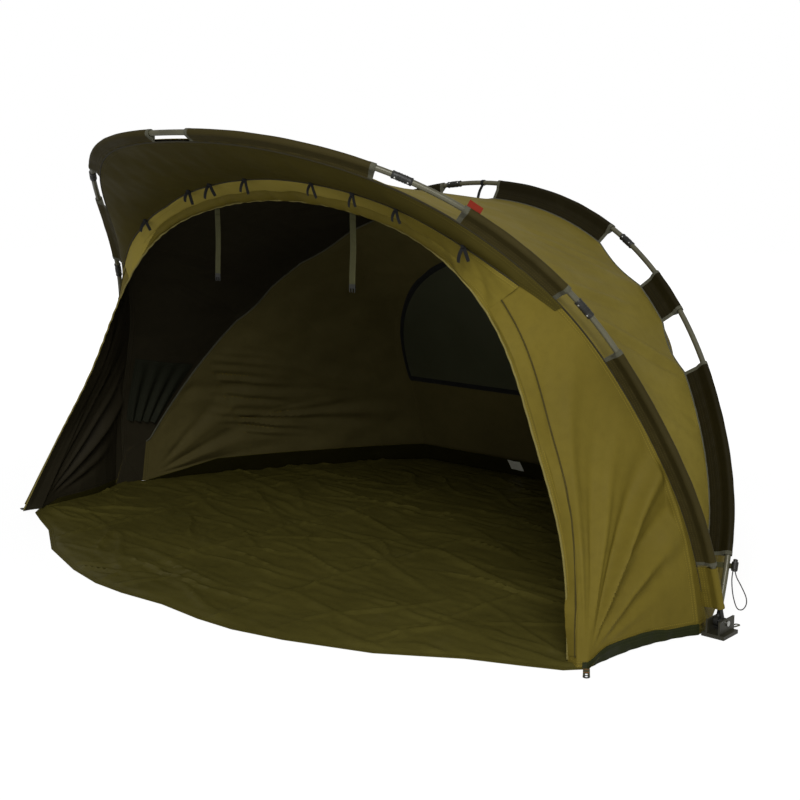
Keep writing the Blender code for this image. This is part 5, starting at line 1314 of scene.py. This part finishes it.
def sheet_edges():
    """The groundsheet's fold line as front and back halves by x, each with its inward direction, lean and height."""
    apron = [(HALF_SPAN * a, -APRON_DEPTH * b, -SHEET_EDGE, 0.0) for a, b in APRON_SHARES]
    places = [(HALF_SPAN * a, -DOOR_FOOT_DEPTH * b) for a, b in WING_FOOT_SHARES]
    side = [(x, y, 0.0 if k > 2 else -SHEET_EDGE, SIDE_LIP_HEIGHT * (k > 2)) for k, (x, y) in enumerate(places)
            if k > 1]
    notch = [(HALF_SPAN * a, BLOCK_LENGTH * b, -SHEET_EDGE / 4, 0.0) for a, b in NOTCH_SHARES]
    line = base_line()
    run = run_of(line)
    rise = np.clip(run / LIP_RISE_RUN, 0, 1)
    inset = line + unit(np.array([0.0, BACK_DEPTH / 3]) - line) * FOLD_INSET
    lean = np.where(rise > 0, LIP_LEAN * rise, -SHEET_EDGE / 4)
    back = [(x, y, a, LIP_HEIGHT * b) for (x, y), a, b in zip(inset, lean, rise)]
    right = np.array(apron + side + notch + back)
    outline = np.concatenate([right, right[-2:0:-1] * (-1, 1, 1, 1)])
    fold = outline[:, :2]
    step = np.roll(fold, -1, axis=0) - fold
    after = unit(np.stack([-step[:, 1], step[:, 0]], -1))
    before = np.roll(after, 1, axis=0)
    inwards = (before + after) / (1 + (before * after).sum(1))[:, None]
    table = np.column_stack([outline, inwards])[: len(right)]
    split = len(apron) + len(side) + 1
    return table[:split], table[split:][::-1]


def groundsheet_creases(x, y):
    """Height of the groundsheet's creases, never below 0: pressed fold lines, slanting ridges and crumples."""
    rng = np.random.default_rng(11)
    total = np.zeros_like(x)
    for place in (-0.78, -0.30, 0.22, 0.70):
        total += 0.0055 * np.exp(-(((x - place - 0.02 * np.sin(3 * y + place)) / 0.008) ** 2))
    for place in (-0.42, 0.05, 0.55):
        total += 0.0050 * np.exp(-(((y - place - 0.02 * np.sin(2.4 * x + place)) / 0.008) ** 2))
    for _ in range(120):
        cx, cy = rng.uniform(-1.15, 1.15), rng.uniform(-0.85, 1.0)
        turn = rng.normal(-0.05, 0.28) + (rng.random() < 0.15) * 1.2
        long, wide = rng.uniform(0.08, 0.42), rng.uniform(0.006, 0.014)
        a = (x - cx) * math.cos(turn) + (y - cy) * math.sin(turn)
        b = -(x - cx) * math.sin(turn) + (y - cy) * math.cos(turn) + 0.03 * np.sin(a / long * 2.2)
        total = np.maximum(total, rng.uniform(0.004, 0.012) * np.exp(-((a / long) ** 2) - (b / wide) ** 2))
    place = np.stack([x, y, 0 * x], -1)
    soft = 0.0060 * (1 + waves(place, 0.17, 5)) * 0.5 + 0.0034 * (1 + waves(place * (0.6, 1.6, 1), 0.05, 6)) * 0.5
    return total + soft


def groundsheet():
    """The groundsheet: columns from its front edge to its back edge, creased, with lips that stand up at the edges."""
    front, back = sheet_edges()
    end = front[:, 0].max()
    knots = np.concatenate([front[:, 0], back[:, 0], np.linspace(0, end, 118)])
    right = np.unique(np.round(knots, 5))
    right = right[np.concatenate([[True], np.diff(right) > 0.0008])]
    x = np.concatenate([-right[:0:-1], right])
    front_at = [np.interp(np.abs(x), front[:, 0], front[:, k]) for k in range(6)]
    order = np.argsort(back[:, 0], kind="stable")
    back_at = [np.interp(np.abs(x), back[order, 0], back[order, k]) for k in range(6)]
    sign = np.sign(x) + (x == 0)
    half = SHEET_THICKNESS / 2
    t = np.linspace(0, 1, 176)[:, None]
    y = front_at[1][None] * (1 - t) + back_at[1][None] * t
    xx = np.tile(x, (len(t), 1))
    away = np.minimum(y - front_at[1][None], back_at[1][None] - y)
    up = groundsheet_creases(xx, y) * smooth(away, 0.004, 0.03) * settings().crease_depth
    middle = np.stack([xx, y, half + up], -1)
    rows = [middle]
    for at, count, first in ((front_at, 5, True), (back_at, 10, False)):
        share = np.linspace(0, 1, count + 1)[1:, None]
        move = np.stack([at[4] * sign * at[2], at[5] * at[2], at[3]], -1)
        start = np.stack([x, at[1], np.full(len(x), half)], -1)
        lip = start[None] + move[None] * share[..., None]
        ripple = 0.003 * waves(lip, 0.09, 7) * np.sin(math.pi * share * 0.5) * smooth(at[3], 0.02, 0.07)[None]
        lip = lip + np.stack([at[4] * sign, at[5], 0 * x], -1)[None] * np.maximum(ripple, -0.001)[..., None]
        rows = [lip[::-1]] + rows if first else rows + [lip]
    grid = np.concatenate(rows)
    part = shell(grid, SHEET_THICKNESS, (0, 0, 1), sewn=(0, 0, 1, 1))
    # The lips' faces take the darker lip finish, which is painted shade
    row = np.arange(len(grid) - 1)[:, None]
    raised = (row >= len(grid) - 11) | (np.minimum(front_at[3][1:], front_at[3][:-1]) > 0)[None] & (row < 5)
    part["which"][: 2 * raised.size] = np.tile(raised.ravel(), 2)
    made = put("groundsheet_cloth", part, ["floor", "lip"], "ground", slot="floor_cloth", stands_for=["groundsheet"])


def pocket_half(name, low, high, stands_for):
    """Half of the hanging pocket: the roof's surface moved in by pleats that swell downwards as a squared sine."""
    angles = np.linspace(*POCKET_ANGLES, 60)
    across = np.linspace(low, high, 50)
    share = np.tile(POCKET_SHARES[0] + POCKET_SHARES[1] * across, (len(angles), 1))
    _, _, inward = roof_edges(angles)
    fullness = np.linspace(0, 1, len(angles)) ** 0.5
    depth = PLEAT_DEPTH * np.sin(math.pi * 4 * across)[None] ** 2 * fullness[:, None]
    grid = roof_surface(angles, share) + inward[:, None] * (0.004 + depth)[..., None]
    part = shell(grid, 0.0018, toward=(1, 0, 0), sewn=(low == 0, high == 1, 1, 1))
    made = put(name, part, ["pocket"], slot="pocket_cloth", stands_for=stands_for)
    weigh(made)


def rod_straps():
    """The two rod straps: webbing with two bar tacks at its top and a slight curl, and a three-pronged end."""
    for side, hand in ((1, "right"), (-1, "left")):
        anchor = read_arch(DOOR, [90.0 - side * (90.0 - STRAP_ANGLE)])[0] - (0, 0, STRAP_HANG_GAP)
        length = STRAP_LENGTH - STRAP_TIP_LENGTH
        t = np.linspace(0, 1, 60)[:, None]
        line = anchor + np.array([0, 0, -length]) * t + np.array([0.0015, 0.0022, 0]) * np.sin(math.pi * t * 1.6) * t
        strap = sweep(line, (1, 0, 0), flat(STRAP_WIDTH * 0.98, 0.0019))
        tack = [bar_tack(anchor + np.array([0, -0.0013, -z]), (1, 0, 0), (0, 0, 1), 0.018) for z in (0.004, 0.018)]
        put("rod_strap_%s_webbing" % hand, [strap, *tack], ["webbing"], "rod_strap_" + hand, slot="webbing",
            stands_for=["rod_strap_" + hand])
        top = line[-1] + (0, 0, 0.001)
        grip = top + np.array([[0, 0, 0.002], [0, 0, -0.002], [0, 0, -0.008], [0, 0, -0.010]])
        parts = [sweep(grip, (1, 0, 0), flat(STRAP_WIDTH * 0.98, 0.0042))]
        for offset in (-0.0085, 0.0, 0.0085):
            bow = 0.0012 * np.sign(offset) * np.sin(np.linspace(0, 3.1, 12))
            prong = top + np.stack([offset + bow, np.zeros(12), np.linspace(-0.008, -0.0215, 12)], -1)
            parts.append(sweep(prong, (1, 0, 0), flat(0.0042, 0.0032), np.linspace(1.1, 0.75, 12)))
        put("rod_strap_%s_prongs" % hand, parts, ["plastic"], "rod_strap_" + hand, slot="plastic",
            stands_for=["rod_strap_end_" + hand])


def bar_tack(middle, along, out, width, lines=7):
    """A sewn bar: a zigzag of thread across a width."""
    t = np.linspace(-1, 1, lines * 6)[:, None]
    zig = np.abs(((t * lines) % 2) - 1) * 2 - 1
    line = np.asarray(middle) + unit(along) * width / 2 * t + unit(out) * 0.0016 * zig
    return sweep(line, np.cross(along, out), ring(6, 0.0004))


def ties():
    """Eight pairs of short black tapes on the line between visor and band, each a narrow strip with a slight curl."""
    rng = np.random.default_rng(5)
    s = settings()
    for number, angle in enumerate(TIE_ANGLES, 1):
        share = visor_share([angle]) + 0.02
        middle = front_face(np.array([angle]), share[:, None])[0, 0]
        below = front_face(np.array([angle]), share[:, None] - 0.2)[0, 0]
        aside = front_face(np.array([angle + 1.0]), visor_share([angle + 1.0])[:, None] + 0.02)[0, 0]
        down, across = unit(below - middle), unit(aside - middle)
        out = unit(np.cross(across, down))
        out = out * -np.sign(out[1])
        down = unit(np.array([0, 0, -1.0]) + out * max(out[2], 0.0))
        across = unit(np.cross(out * (1, 1, 0), down))
        out = np.cross(down, across)
        parts = []
        for hand, lean in ((-1, rng.uniform(0.3, 0.6)), (1, rng.uniform(0.3, 0.6))):
            t = np.linspace(0, 1, 26)[:, None]
            long = s.tie_length * rng.uniform(0.85, 1.15)
            heading = unit(down + hand * lean * across)
            lift = 0.0045 + 0.004 * np.sin(math.pi * t) * rng.uniform(0.6, 1.2)
            curl = across * hand * 0.002 * np.sin(3.0 * t) + out * lift
            line = middle + heading * long * t + curl
            taper = 1 - 0.15 * smooth(t[:, 0], 0.85, 1.0)
            parts.append(sweep(line, np.cross(heading, out), flat(s.tie_width, 0.0014), taper))
        size = 1.5 if number == 6 else 1.0
        knot = middle + out * 0.0085 + size * across * np.linspace(-0.006, 0.006, 12)[:, None]
        parts.append(sweep(knot, down, ring(10, 0.0052 * size, 0.8), np.sin(np.linspace(0.5, 2.64, 12))))
        put("door_tie_%d" % number, parts, ["tape"], "front_arch", slot="webbing")


def door_trim():
    """The light wavy piping on the doorway's edge and the pressed dark line where visor and band meet."""
    angles = np.linspace(0.5, 179.5, 700)
    line = read_arch(DOOR, angles)
    inward = frames(DOOR, angles)[2]
    foot = smooth(rise_of(angles), 2, 40)[:, None]
    wave = 0.0009 * np.sin(angles * 2.3 + 2 * np.sin(angles * 0.31))[:, None] * foot
    line = line + LEFT_PULL * edge_pull(180 - angles)[:, None]
    line = line + np.array([0, -0.0022, 0]) + inward * (0.0012 + wave)
    line[:, 2] = np.maximum(line[:, 2], 0.006)
    piping = sweep(line, inward, ring(12, DOOR_PIPING_RADIUS))
    put("doorway_piping", piping, ["light_piping"], "front_arch", slot="band_cloth", settled=True)
    angles = np.linspace(BAND_END, 180 - BAND_END, 400)
    edge = front_face(angles, visor_share(angles)[:, None])[:, 0]
    piping = sweep(edge + np.array([0, -0.0018, -0.0006]), (0, -1, 0.3), ring(8, VISOR_PIPING_RADIUS))
    put("visor_piping", piping, ["piping"], "front_arch", slot="visor_cloth")


def loops():
    """The peg loops: webbing tabs flat on the ground with a sewn eye, orange bar tacks and a black ring."""
    for side, hand in ((1, "right"), (-1, "left")):
        corner = np.array([HALF_SPAN * 0.9051 * side, -DOOR_FOOT_DEPTH * 1.0137, 0])
        one_loop("corner_loop_" + hand, corner, (0.55 * side, -0.83, 0), True)
        behind = np.array([side * (HALF_SPAN - 0.008), BLOCK_LENGTH / 2 + 0.0021, 0])
        one_loop("block_loop_" + hand, behind, (0.2 * side, 0.98, 0), False)


def one_loop(name, start, heading, ringed):
    """A tab from a point in a direction: two strips side by side round an eye, with a ring through its end."""
    heading = unit(np.array(heading))
    across = np.array([-heading[1], heading[0], 0.0])
    turn = np.linspace(0.5 * math.pi, -0.5 * math.pi, 24)
    eye = start + heading * (LOOP_LENGTH - LOOP_WIDTH / 2)
    arc = eye + LOOP_EYE * (np.cos(turn)[:, None] * heading + np.sin(turn)[:, None] * across)
    leg = np.linspace(0.002, 1, 24)[:, None]
    left = start + across * 0.0048 + (arc[0] - start - across * 0.0048) * leg
    right = start - across * 0.0048 + (arc[-1] - start + across * 0.0048) * leg[::-1]
    line = np.concatenate([left[:-1], arc, right[1:]]) + (0, 0, 0.0022)
    up = np.array([0, 0, 1.0])
    parts = [sweep(line, np.cross(up, unit(np.gradient(line, axis=0))), flat(0.0058, 0.0018))]
    tongue = start + heading * np.linspace(0.001, LOOP_LENGTH * 0.52, 20)[:, None] + up * 0.0030
    parts.append(sweep(tongue, across, flat(LOOP_WIDTH * 0.96, 0.0016)))
    tacks = [bar_tack(start + heading * d + up * 0.0041, across, heading, 0.013) for d in (0.006, 0.027)]
    for tack in tacks:
        tack["which"] = tack["which"] + 1
    parts += tacks
    if ringed:
        spin = np.linspace(0, 2 * math.pi, 49)
        circle = np.cos(spin)[:, None] * heading + np.sin(spin)[:, None] * across
        hoop = eye + heading * 0.0045 + up * 0.0045 + 0.0068 * circle
        hoop_bar = sweep(hoop, up, ring(10, 0.0014))
        hoop_bar["which"] = hoop_bar["which"] + 2
        parts.append(hoop_bar)
    put(name + "_webbing", parts, ["webbing", "thread", "plastic"], "ground", slot="webbing", stands_for=[name])


def tabs():
    """The plain red tab on its loop at the front sleeve, and the plain pale tag on the groundsheet's lip."""
    centre, tangent, inward, normal = frames(FRONT, [LABEL_ANGLE])
    facing = np.sign(normal[0, 1]) * normal[0]
    lean = unit(facing - inward[0] * LABEL_LEAN_SHARE)
    t = np.linspace(0, 1, 16)[:, None]
    wide = np.linspace(-1, 1, 14)[None]
    half = LABEL_TURN / arch_degrees(FRONT, LABEL_ANGLE)
    curl = inward[0] * (0.0016 * np.sin(2.5 * t + wide) * t)[..., None]
    grid = centre[0] + lean * (0.0110 + LABEL_HEIGHT * t)[..., None] + tangent[0] * half * wide[..., None] + curl
    part = shell(grid, 0.0012, toward=-inward[0], sewn=(0, 0, 1, 0))
    put("arch_tab", part, ["red"], "front_arch", slot="red_cloth", stands_for=["arch_label"])
    slope = math.hypot(LIP_LEAN, LIP_HEIGHT)
    facing = np.array([0.0, -LIP_HEIGHT, -LIP_LEAN]) / slope
    along = np.array([0.0, -LIP_LEAN, LIP_HEIGHT]) / slope
    fold = np.array([-0.169, BACK_DEPTH - FOLD_INSET, SHEET_THICKNESS / 2])
    aside = np.array([0.030, 0, 0]) * wide[..., None]
    bulge = (0.0030 + 0.0012 * np.sin(3 * wide + t))[..., None]
    grid = fold + along * slope * (0.40 + 0.53 * t)[..., None] + aside + facing * bulge
    part = shell(grid, 0.0009, toward=facing)
    put("floor_tag_cloth", part, ["pale"], "ground", slot="pale_cloth", stands_for=["floor_tag"])


def arch_degrees(stations, angle):
    """Degrees along an arch to a metre, at an angle."""
    ends = read_arch(stations, [angle - 0.5, angle + 0.5])
    return 1.0 / np.linalg.norm(ends[1] - ends[0])


def poles():
    """Every tube and joint collar again with fine sections; the feet keep their solids."""
    sets = (("front", FRONT, FRONT_JOINTS, ("leg_right", "side_right", "crown", "side_left", "leg_left"),
             ("lower_right", "upper_right", "upper_left", "lower_left")),
            ("rear", REAR, REAR_JOINTS, ("leg_right", "upper_right", "upper_left", "leg_left"),
             ("right", "crown", "left")))
    for label, stations, joints, tubes, collars in sets:
        body = label + "_arch"
        foot = 0.045 * arch_degrees(stations, 3.0)
        start = foot
        for place, angle in zip(tubes, (*joints, 180 - foot)):
            reach = 0.0283 * arch_degrees(stations, angle) if angle in joints else 0.0
            name = "%s_tube_%s" % (label, place)
            put(name + "_paint", hollow(stations, start, angle - reach), ["tube"], body, slot="tube", stands_for=[name])
            start = angle + reach
        for place, angle in zip(collars, joints):
            name = "%s_joint_%s" % (label, place)
            put(name + "_collar", collar(stations, angle), ["plastic", "steel"], body, 30, slot="plastic",
                stands_for=[name])


def round_about(inward, normal, sides):
    """Unit circles across an arch, one at each of its places."""
    turn = turns(sides)
    return np.cos(turn)[None, :, None] * inward[:, None] + np.sin(turn)[None, :, None] * normal[:, None]


def hollow(stations, start, end):
    """A tube along an arch: outer rings one way and inner rings back."""
    angles = np.linspace(start, end, max(8, int((end - start) / 0.6)))
    centre, _, inward, normal = frames(stations, angles)
    spread = round_about(inward, normal, 20)
    outer, inner = centre[:, None] + TUBE_RADIUS * spread, centre[:, None] + (TUBE_RADIUS - 0.0012) * spread
    return tube_wall(outer, inner)


def tube_wall(outer, inner):
    """A closed tube wall with its maps: girth and run in metres."""
    rings = np.concatenate([outer, inner[::-1]])
    count, around = rings.shape[:2]
    run = run_of(outer[:, 0])
    run = np.concatenate([run, run[::-1]])
    girth = np.linspace(0, 2 * math.pi * TUBE_RADIUS, around)
    weave = np.stack([np.tile(girth, (count, 1)), np.repeat(run[:, None], around, 1)], -1).reshape(-1, 2)
    return outwards({"points": rings.reshape(-1, 3), "faces": [torus(count, around)], "weave": weave,
                     "seam": weave + (0, FAR), "which": np.zeros(count * around, int)})


def collar(stations, angle):
    """A moulded collar: radius along its length with a rolled rim each end and shallow grip rings, and two rivets."""
    scale = arch_degrees(stations, angle)
    z = np.array([-0.068, -0.0285, -0.0283, -0.0281, -0.026, -0.0245, -0.0235, -0.020, -0.016, -0.012, -0.0115, -0.009,
                  -0.0085, -0.006, -0.0055, -0.003, -0.0025, 0.0])
    r = np.array([0.0065, 0.0065, 0.0078, 0.0096, 0.0110, 0.0112, 0.0104, 0.0102, 0.0102, 0.0104, 0.0110, 0.0110,
                  0.0101, 0.0101, 0.0110, 0.0110, 0.0101, 0.0101])
    z, r = np.concatenate([z, -z[-2::-1]]), np.concatenate([r, r[-2::-1]])
    centre, _, inward, normal = frames(stations, angle + scale * z)
    spread = round_about(inward, normal, 28)
    parts = [bar(centre[:, None] + r[:, None, None] * spread)]
    for offset in (-0.018, 0.018):
        middle, _, inwards, normals = frames(stations, [angle + scale * offset])
        rise = np.array([[0.0095], [0.0108], [0.0113], [0.0115]]) * normals[0]
        head = sweep(middle[0] + rise, inwards[0], ring(14, 0.0026), np.array([1.0, 1.0, 0.8, 0.3]), 1)
        parts.append(head)
    return parts


def hardware():
    """Better finishes for the solids that stay, blocks, pins and feet, and softened edges for the blocks."""
    for name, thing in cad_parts.items():
        kind = "steel" if name.startswith("hinge_pin") else "plastic"
        if name.startswith(("pivot_block", "hinge_pin", "front_foot", "rear_foot")):
            for slot in thing.material_slots:
                slot.material = FINISH["block" if name.startswith("pivot") else kind]
        if name.startswith("pivot_block"):
            edge = thing.modifiers.new("softened edge", "BEVEL")
            edge.width, edge.segments, edge.limit_method = 0.0012, 2, "ANGLE"


def floor_finish():
    """A pale floor that keeps the tent's shadow and eases to plain white away from it."""
    made = bpy.data.materials.new("pale floor")
    made.use_nodes = True
    tree = made.node_tree
    tree.nodes.clear()
    place = node(tree, "ShaderNodeTexCoord").outputs["Object"]
    length = node(tree, "ShaderNodeVectorMath", {0: place}, operation="LENGTH").outputs["Value"]
    far = between(tree, length, *FLOOR_FADE)
    camera = node(tree, "ShaderNodeLightPath").outputs["Is Camera Ray"]
    share = times(tree, camera, plus(tree, FLOOR_SHADE, times(tree, far, 1 - FLOOR_SHADE)))
    plain = node(tree, "ShaderNodeBsdfDiffuse", {"Color": (0.86, 0.86, 0.86, 1.0)}).outputs[0]
    white = node(tree, "ShaderNodeEmission", {"Color": (1.0, 1.0, 1.0, 1.0), "Strength": FLOOR_GLOW}).outputs[0]
    mixed = node(tree, "ShaderNodeMixShader", {0: share, 1: plain, 2: white}).outputs[0]
    node(tree, "ShaderNodeOutputMaterial", {"Surface": mixed})
    return made


def world_light():
    """Soft even light all round, white where the camera or a gloss sees it."""
    world = bpy.data.worlds.new("studio")
    bpy.context.scene.world = world
    world.use_nodes = True
    tree = world.node_tree
    tree.nodes.clear()
    path = node(tree, "ShaderNodeLightPath")
    direct = calc(tree, "MAXIMUM", path.outputs["Is Camera Ray"], path.outputs["Is Transmission Ray"])
    strength = plus(tree, times(tree, direct, 1 - WORLD_LIGHT), WORLD_LIGHT)
    shade = node(tree, "ShaderNodeBackground", {"Color": (1.0, 1.0, 1.0, 1.0), "Strength": strength}).outputs[0]
    node(tree, "ShaderNodeOutputWorld", {"Surface": shade})


def area_light(name, place, target, size, power):
    """A square lamp that faces a point."""
    data = bpy.data.lights.new(name, "AREA")
    data.shape, data.size, data.energy = "SQUARE", size, power
    lamp = bpy.data.objects.new(name, data)
    bpy.context.scene.collection.objects.link(lamp)
    lamp.location = place
    forward = unit(np.array(target) - np.array(place))
    side = unit(np.cross(forward, (0, 0, 1)))
    up = np.cross(side, forward)
    matrix = np.eye(4)
    matrix[:3, 0], matrix[:3, 1], matrix[:3, 2], matrix[:3, 3] = side, up, -forward, place
    lamp.matrix_world = matrix.T.tolist()


def stage():
    """Floor, lights, world and the camera at the photograph's place."""
    side = np.linspace(-FLOOR_HALF, FLOOR_HALF, 3)
    floor = shell(np.stack([*np.meshgrid(side, side), np.full((3, 3), -0.0015)], -1), 0.001, (0, 0, 1))
    FINISH["ground"] = floor_finish()
    put("studio_floor", floor, ["ground"])
    world_light()
    for name, lamp in LAMPS.items():
        area_light(name, *lamp)
    data = bpy.data.cameras.new("photo camera")
    data.sensor_width, data.lens = 36.0, CAMERA_LENS
    camera = bpy.data.objects.new("photo camera", data)
    bpy.context.scene.collection.objects.link(camera)
    camera.location = CAMERA_PLACE
    camera.rotation_euler = (math.pi / 2 - CAMERA_TILT, 0.0, CAMERA_TURN)
    bpy.context.scene.camera = camera
    bpy.context.scene.view_settings.view_transform = "Standard"


# Operators, one for each piece or group of like pieces


def roof():
    """The front and rear pieces of the roof cloth."""
    roof_piece("roof_front_cloth", True, 50, "roof_front")
    roof_piece("roof_rear_cloth", False, 30, "roof_rear")


def pocket():
    """Both halves of the hanging pocket."""
    pocket_half("wall_pocket_front", 0.0, 0.5, ["wall_pocket"])
    pocket_half("wall_pocket_rear", 0.5, 1.0, [])


def built(*builders):
    """Runs builders with the materials ready, and gives an operator's result."""
    if not FINISH:
        make_finishes()
    for work in builders:
        work()
    return {"FINISHED"}


class BIVVY_OT_stage(bpy.types.Operator):
    """Makes the floor, the lights and the camera"""

    bl_idname = "bivvy.stage"
    bl_label = "Stage"
    bl_options = {"REGISTER", "UNDO"}

    def execute(self, context):
        return built(stage)


class BIVVY_OT_cord_lock(bpy.types.Operator):
    """Makes the cord lock with its button, its webbing and its thin cord"""

    bl_idname = "bivvy.cord_lock"
    bl_label = "Cord lock"
    bl_options = {"REGISTER", "UNDO"}

    def execute(self, context):
        return built(lock_cord, lock_fittings)


class BIVVY_OT_roof(bpy.types.Operator):
    """Makes the front and rear pieces of the roof cloth"""

    bl_idname = "bivvy.roof"
    bl_label = "Roof"
    bl_options = {"REGISTER", "UNDO"}

    def execute(self, context):
        return built(roof)


class BIVVY_OT_visor(bpy.types.Operator):
    """Makes the dark underside of the peak"""

    bl_idname = "bivvy.visor"
    bl_label = "Visor"
    bl_options = {"REGISTER", "UNDO"}

    def execute(self, context):
        return built(visor_cloth)


class BIVVY_OT_band(bpy.types.Operator):
    """Makes the light band round the doorway"""

    bl_idname = "bivvy.band"
    bl_label = "Doorway band"
    bl_options = {"REGISTER", "UNDO"}

    def execute(self, context):
        return built(band_cloth)


class BIVVY_OT_wings(bpy.types.Operator):
    """Makes both side wings with their zips, skirts and leg cuffs"""

    bl_idname = "bivvy.wings"
    bl_label = "Wings"
    bl_options = {"REGISTER", "UNDO"}

    def execute(self, context):
        return built(wings)


class BIVVY_OT_sleeves(bpy.types.Operator):
    """Makes all pole sleeves and the seam piping"""

    bl_idname = "bivvy.sleeves"
    bl_label = "Sleeves"
    bl_options = {"REGISTER", "UNDO"}

    def execute(self, context):
        return built(sleeves)


class BIVVY_OT_back_wall(bpy.types.Operator):
    """Makes the back wall"""

    bl_idname = "bivvy.back_wall"
    bl_label = "Back wall"
    bl_options = {"REGISTER", "UNDO"}

    def execute(self, context):
        return built(back_wall)


class BIVVY_OT_window(bpy.types.Operator):
    """Makes the window mesh and its zip"""

    bl_idname = "bivvy.window"
    bl_label = "Window"
    bl_options = {"REGISTER", "UNDO"}

    def execute(self, context):
        return built(window)


class BIVVY_OT_groundsheet(bpy.types.Operator):
    """Makes the groundsheet"""

    bl_idname = "bivvy.groundsheet"
    bl_label = "Groundsheet"
    bl_options = {"REGISTER", "UNDO"}

    def execute(self, context):
        return built(groundsheet)


class BIVVY_OT_pocket(bpy.types.Operator):
    """Makes the hanging pocket"""

    bl_idname = "bivvy.pocket"
    bl_label = "Pocket"
    bl_options = {"REGISTER", "UNDO"}

    def execute(self, context):
        return built(pocket)


class BIVVY_OT_rod_straps(bpy.types.Operator):
    """Makes the rod straps and their ends"""

    bl_idname = "bivvy.rod_straps"
    bl_label = "Rod straps"
    bl_options = {"REGISTER", "UNDO"}

    def execute(self, context):
        return built(rod_straps)


class BIVVY_OT_ties(bpy.types.Operator):
    """Makes the black ties on the band"""

    bl_idname = "bivvy.ties"
    bl_label = "Ties"
    bl_options = {"REGISTER", "UNDO"}

    def execute(self, context):
        return built(ties)


class BIVVY_OT_door_trim(bpy.types.Operator):
    """Makes the piping round the doorway"""

    bl_idname = "bivvy.door_trim"
    bl_label = "Doorway trim"
    bl_options = {"REGISTER", "UNDO"}

    def execute(self, context):
        return built(door_trim)


class BIVVY_OT_loops(bpy.types.Operator):
    """Makes the peg loops"""

    bl_idname = "bivvy.loops"
    bl_label = "Peg loops"
    bl_options = {"REGISTER", "UNDO"}

    def execute(self, context):
        return built(loops)


class BIVVY_OT_tabs(bpy.types.Operator):
    """Makes the red tab and the pale tag"""

    bl_idname = "bivvy.tabs"
    bl_label = "Tabs"
    bl_options = {"REGISTER", "UNDO"}

    def execute(self, context):
        return built(tabs)


class BIVVY_OT_poles(bpy.types.Operator):
    """Makes the tubes and joint collars"""

    bl_idname = "bivvy.poles"
    bl_label = "Poles"
    bl_options = {"REGISTER", "UNDO"}

    def execute(self, context):
        return built(poles)


class BIVVY_OT_hardware(bpy.types.Operator):
    """Gives the blocks, pins and feet their finishes"""

    bl_idname = "bivvy.hardware"
    bl_label = "Blocks and pins"
    bl_options = {"REGISTER", "UNDO"}

    def execute(self, context):
        return built(hardware)


OPERATORS = [
    BIVVY_OT_stage,
    BIVVY_OT_cord_lock,
    BIVVY_OT_roof,
    BIVVY_OT_visor,
    BIVVY_OT_band,
    BIVVY_OT_wings,
    BIVVY_OT_sleeves,
    BIVVY_OT_back_wall,
    BIVVY_OT_window,
    BIVVY_OT_groundsheet,
    BIVVY_OT_pocket,
    BIVVY_OT_rod_straps,
    BIVVY_OT_ties,
    BIVVY_OT_door_trim,
    BIVVY_OT_loops,
    BIVVY_OT_tabs,
    BIVVY_OT_poles,
    BIVVY_OT_hardware,
]


class BIVVY_PT_panel(bpy.types.Panel):
    """Sidebar panel that lists the tent's builders."""

    bl_idname = "BIVVY_PT_panel"
    bl_label = "Bivvy tent"
    bl_space_type = "VIEW_3D"
    bl_region_type = "UI"
    bl_category = "Bivvy"

    def draw(self, context):
        for group in (context.scene.bivvy, context.scene.bivvy_colours):
            for key in group.__annotations__:
                self.layout.prop(group, key)
        for made in OPERATORS:
            self.layout.operator(made.bl_idname)


CLASSES = [BivvyColours, BivvySizes, *OPERATORS, BIVVY_PT_panel]


def register():
    for made in CLASSES:
        bpy.utils.register_class(made)
    bpy.types.Scene.bivvy = bpy.props.PointerProperty(type=BivvySizes)
    bpy.types.Scene.bivvy_colours = bpy.props.PointerProperty(type=BivvyColours)


def unregister():
    del bpy.types.Scene.bivvy
    del bpy.types.Scene.bivvy_colours
    for made in reversed(CLASSES):
        bpy.utils.unregister_class(made)


def main():
    register()
    for made in OPERATORS:
        getattr(bpy.ops.bivvy, made.bl_idname.split(".")[1])()


if __name__ == "__main__":
    main()
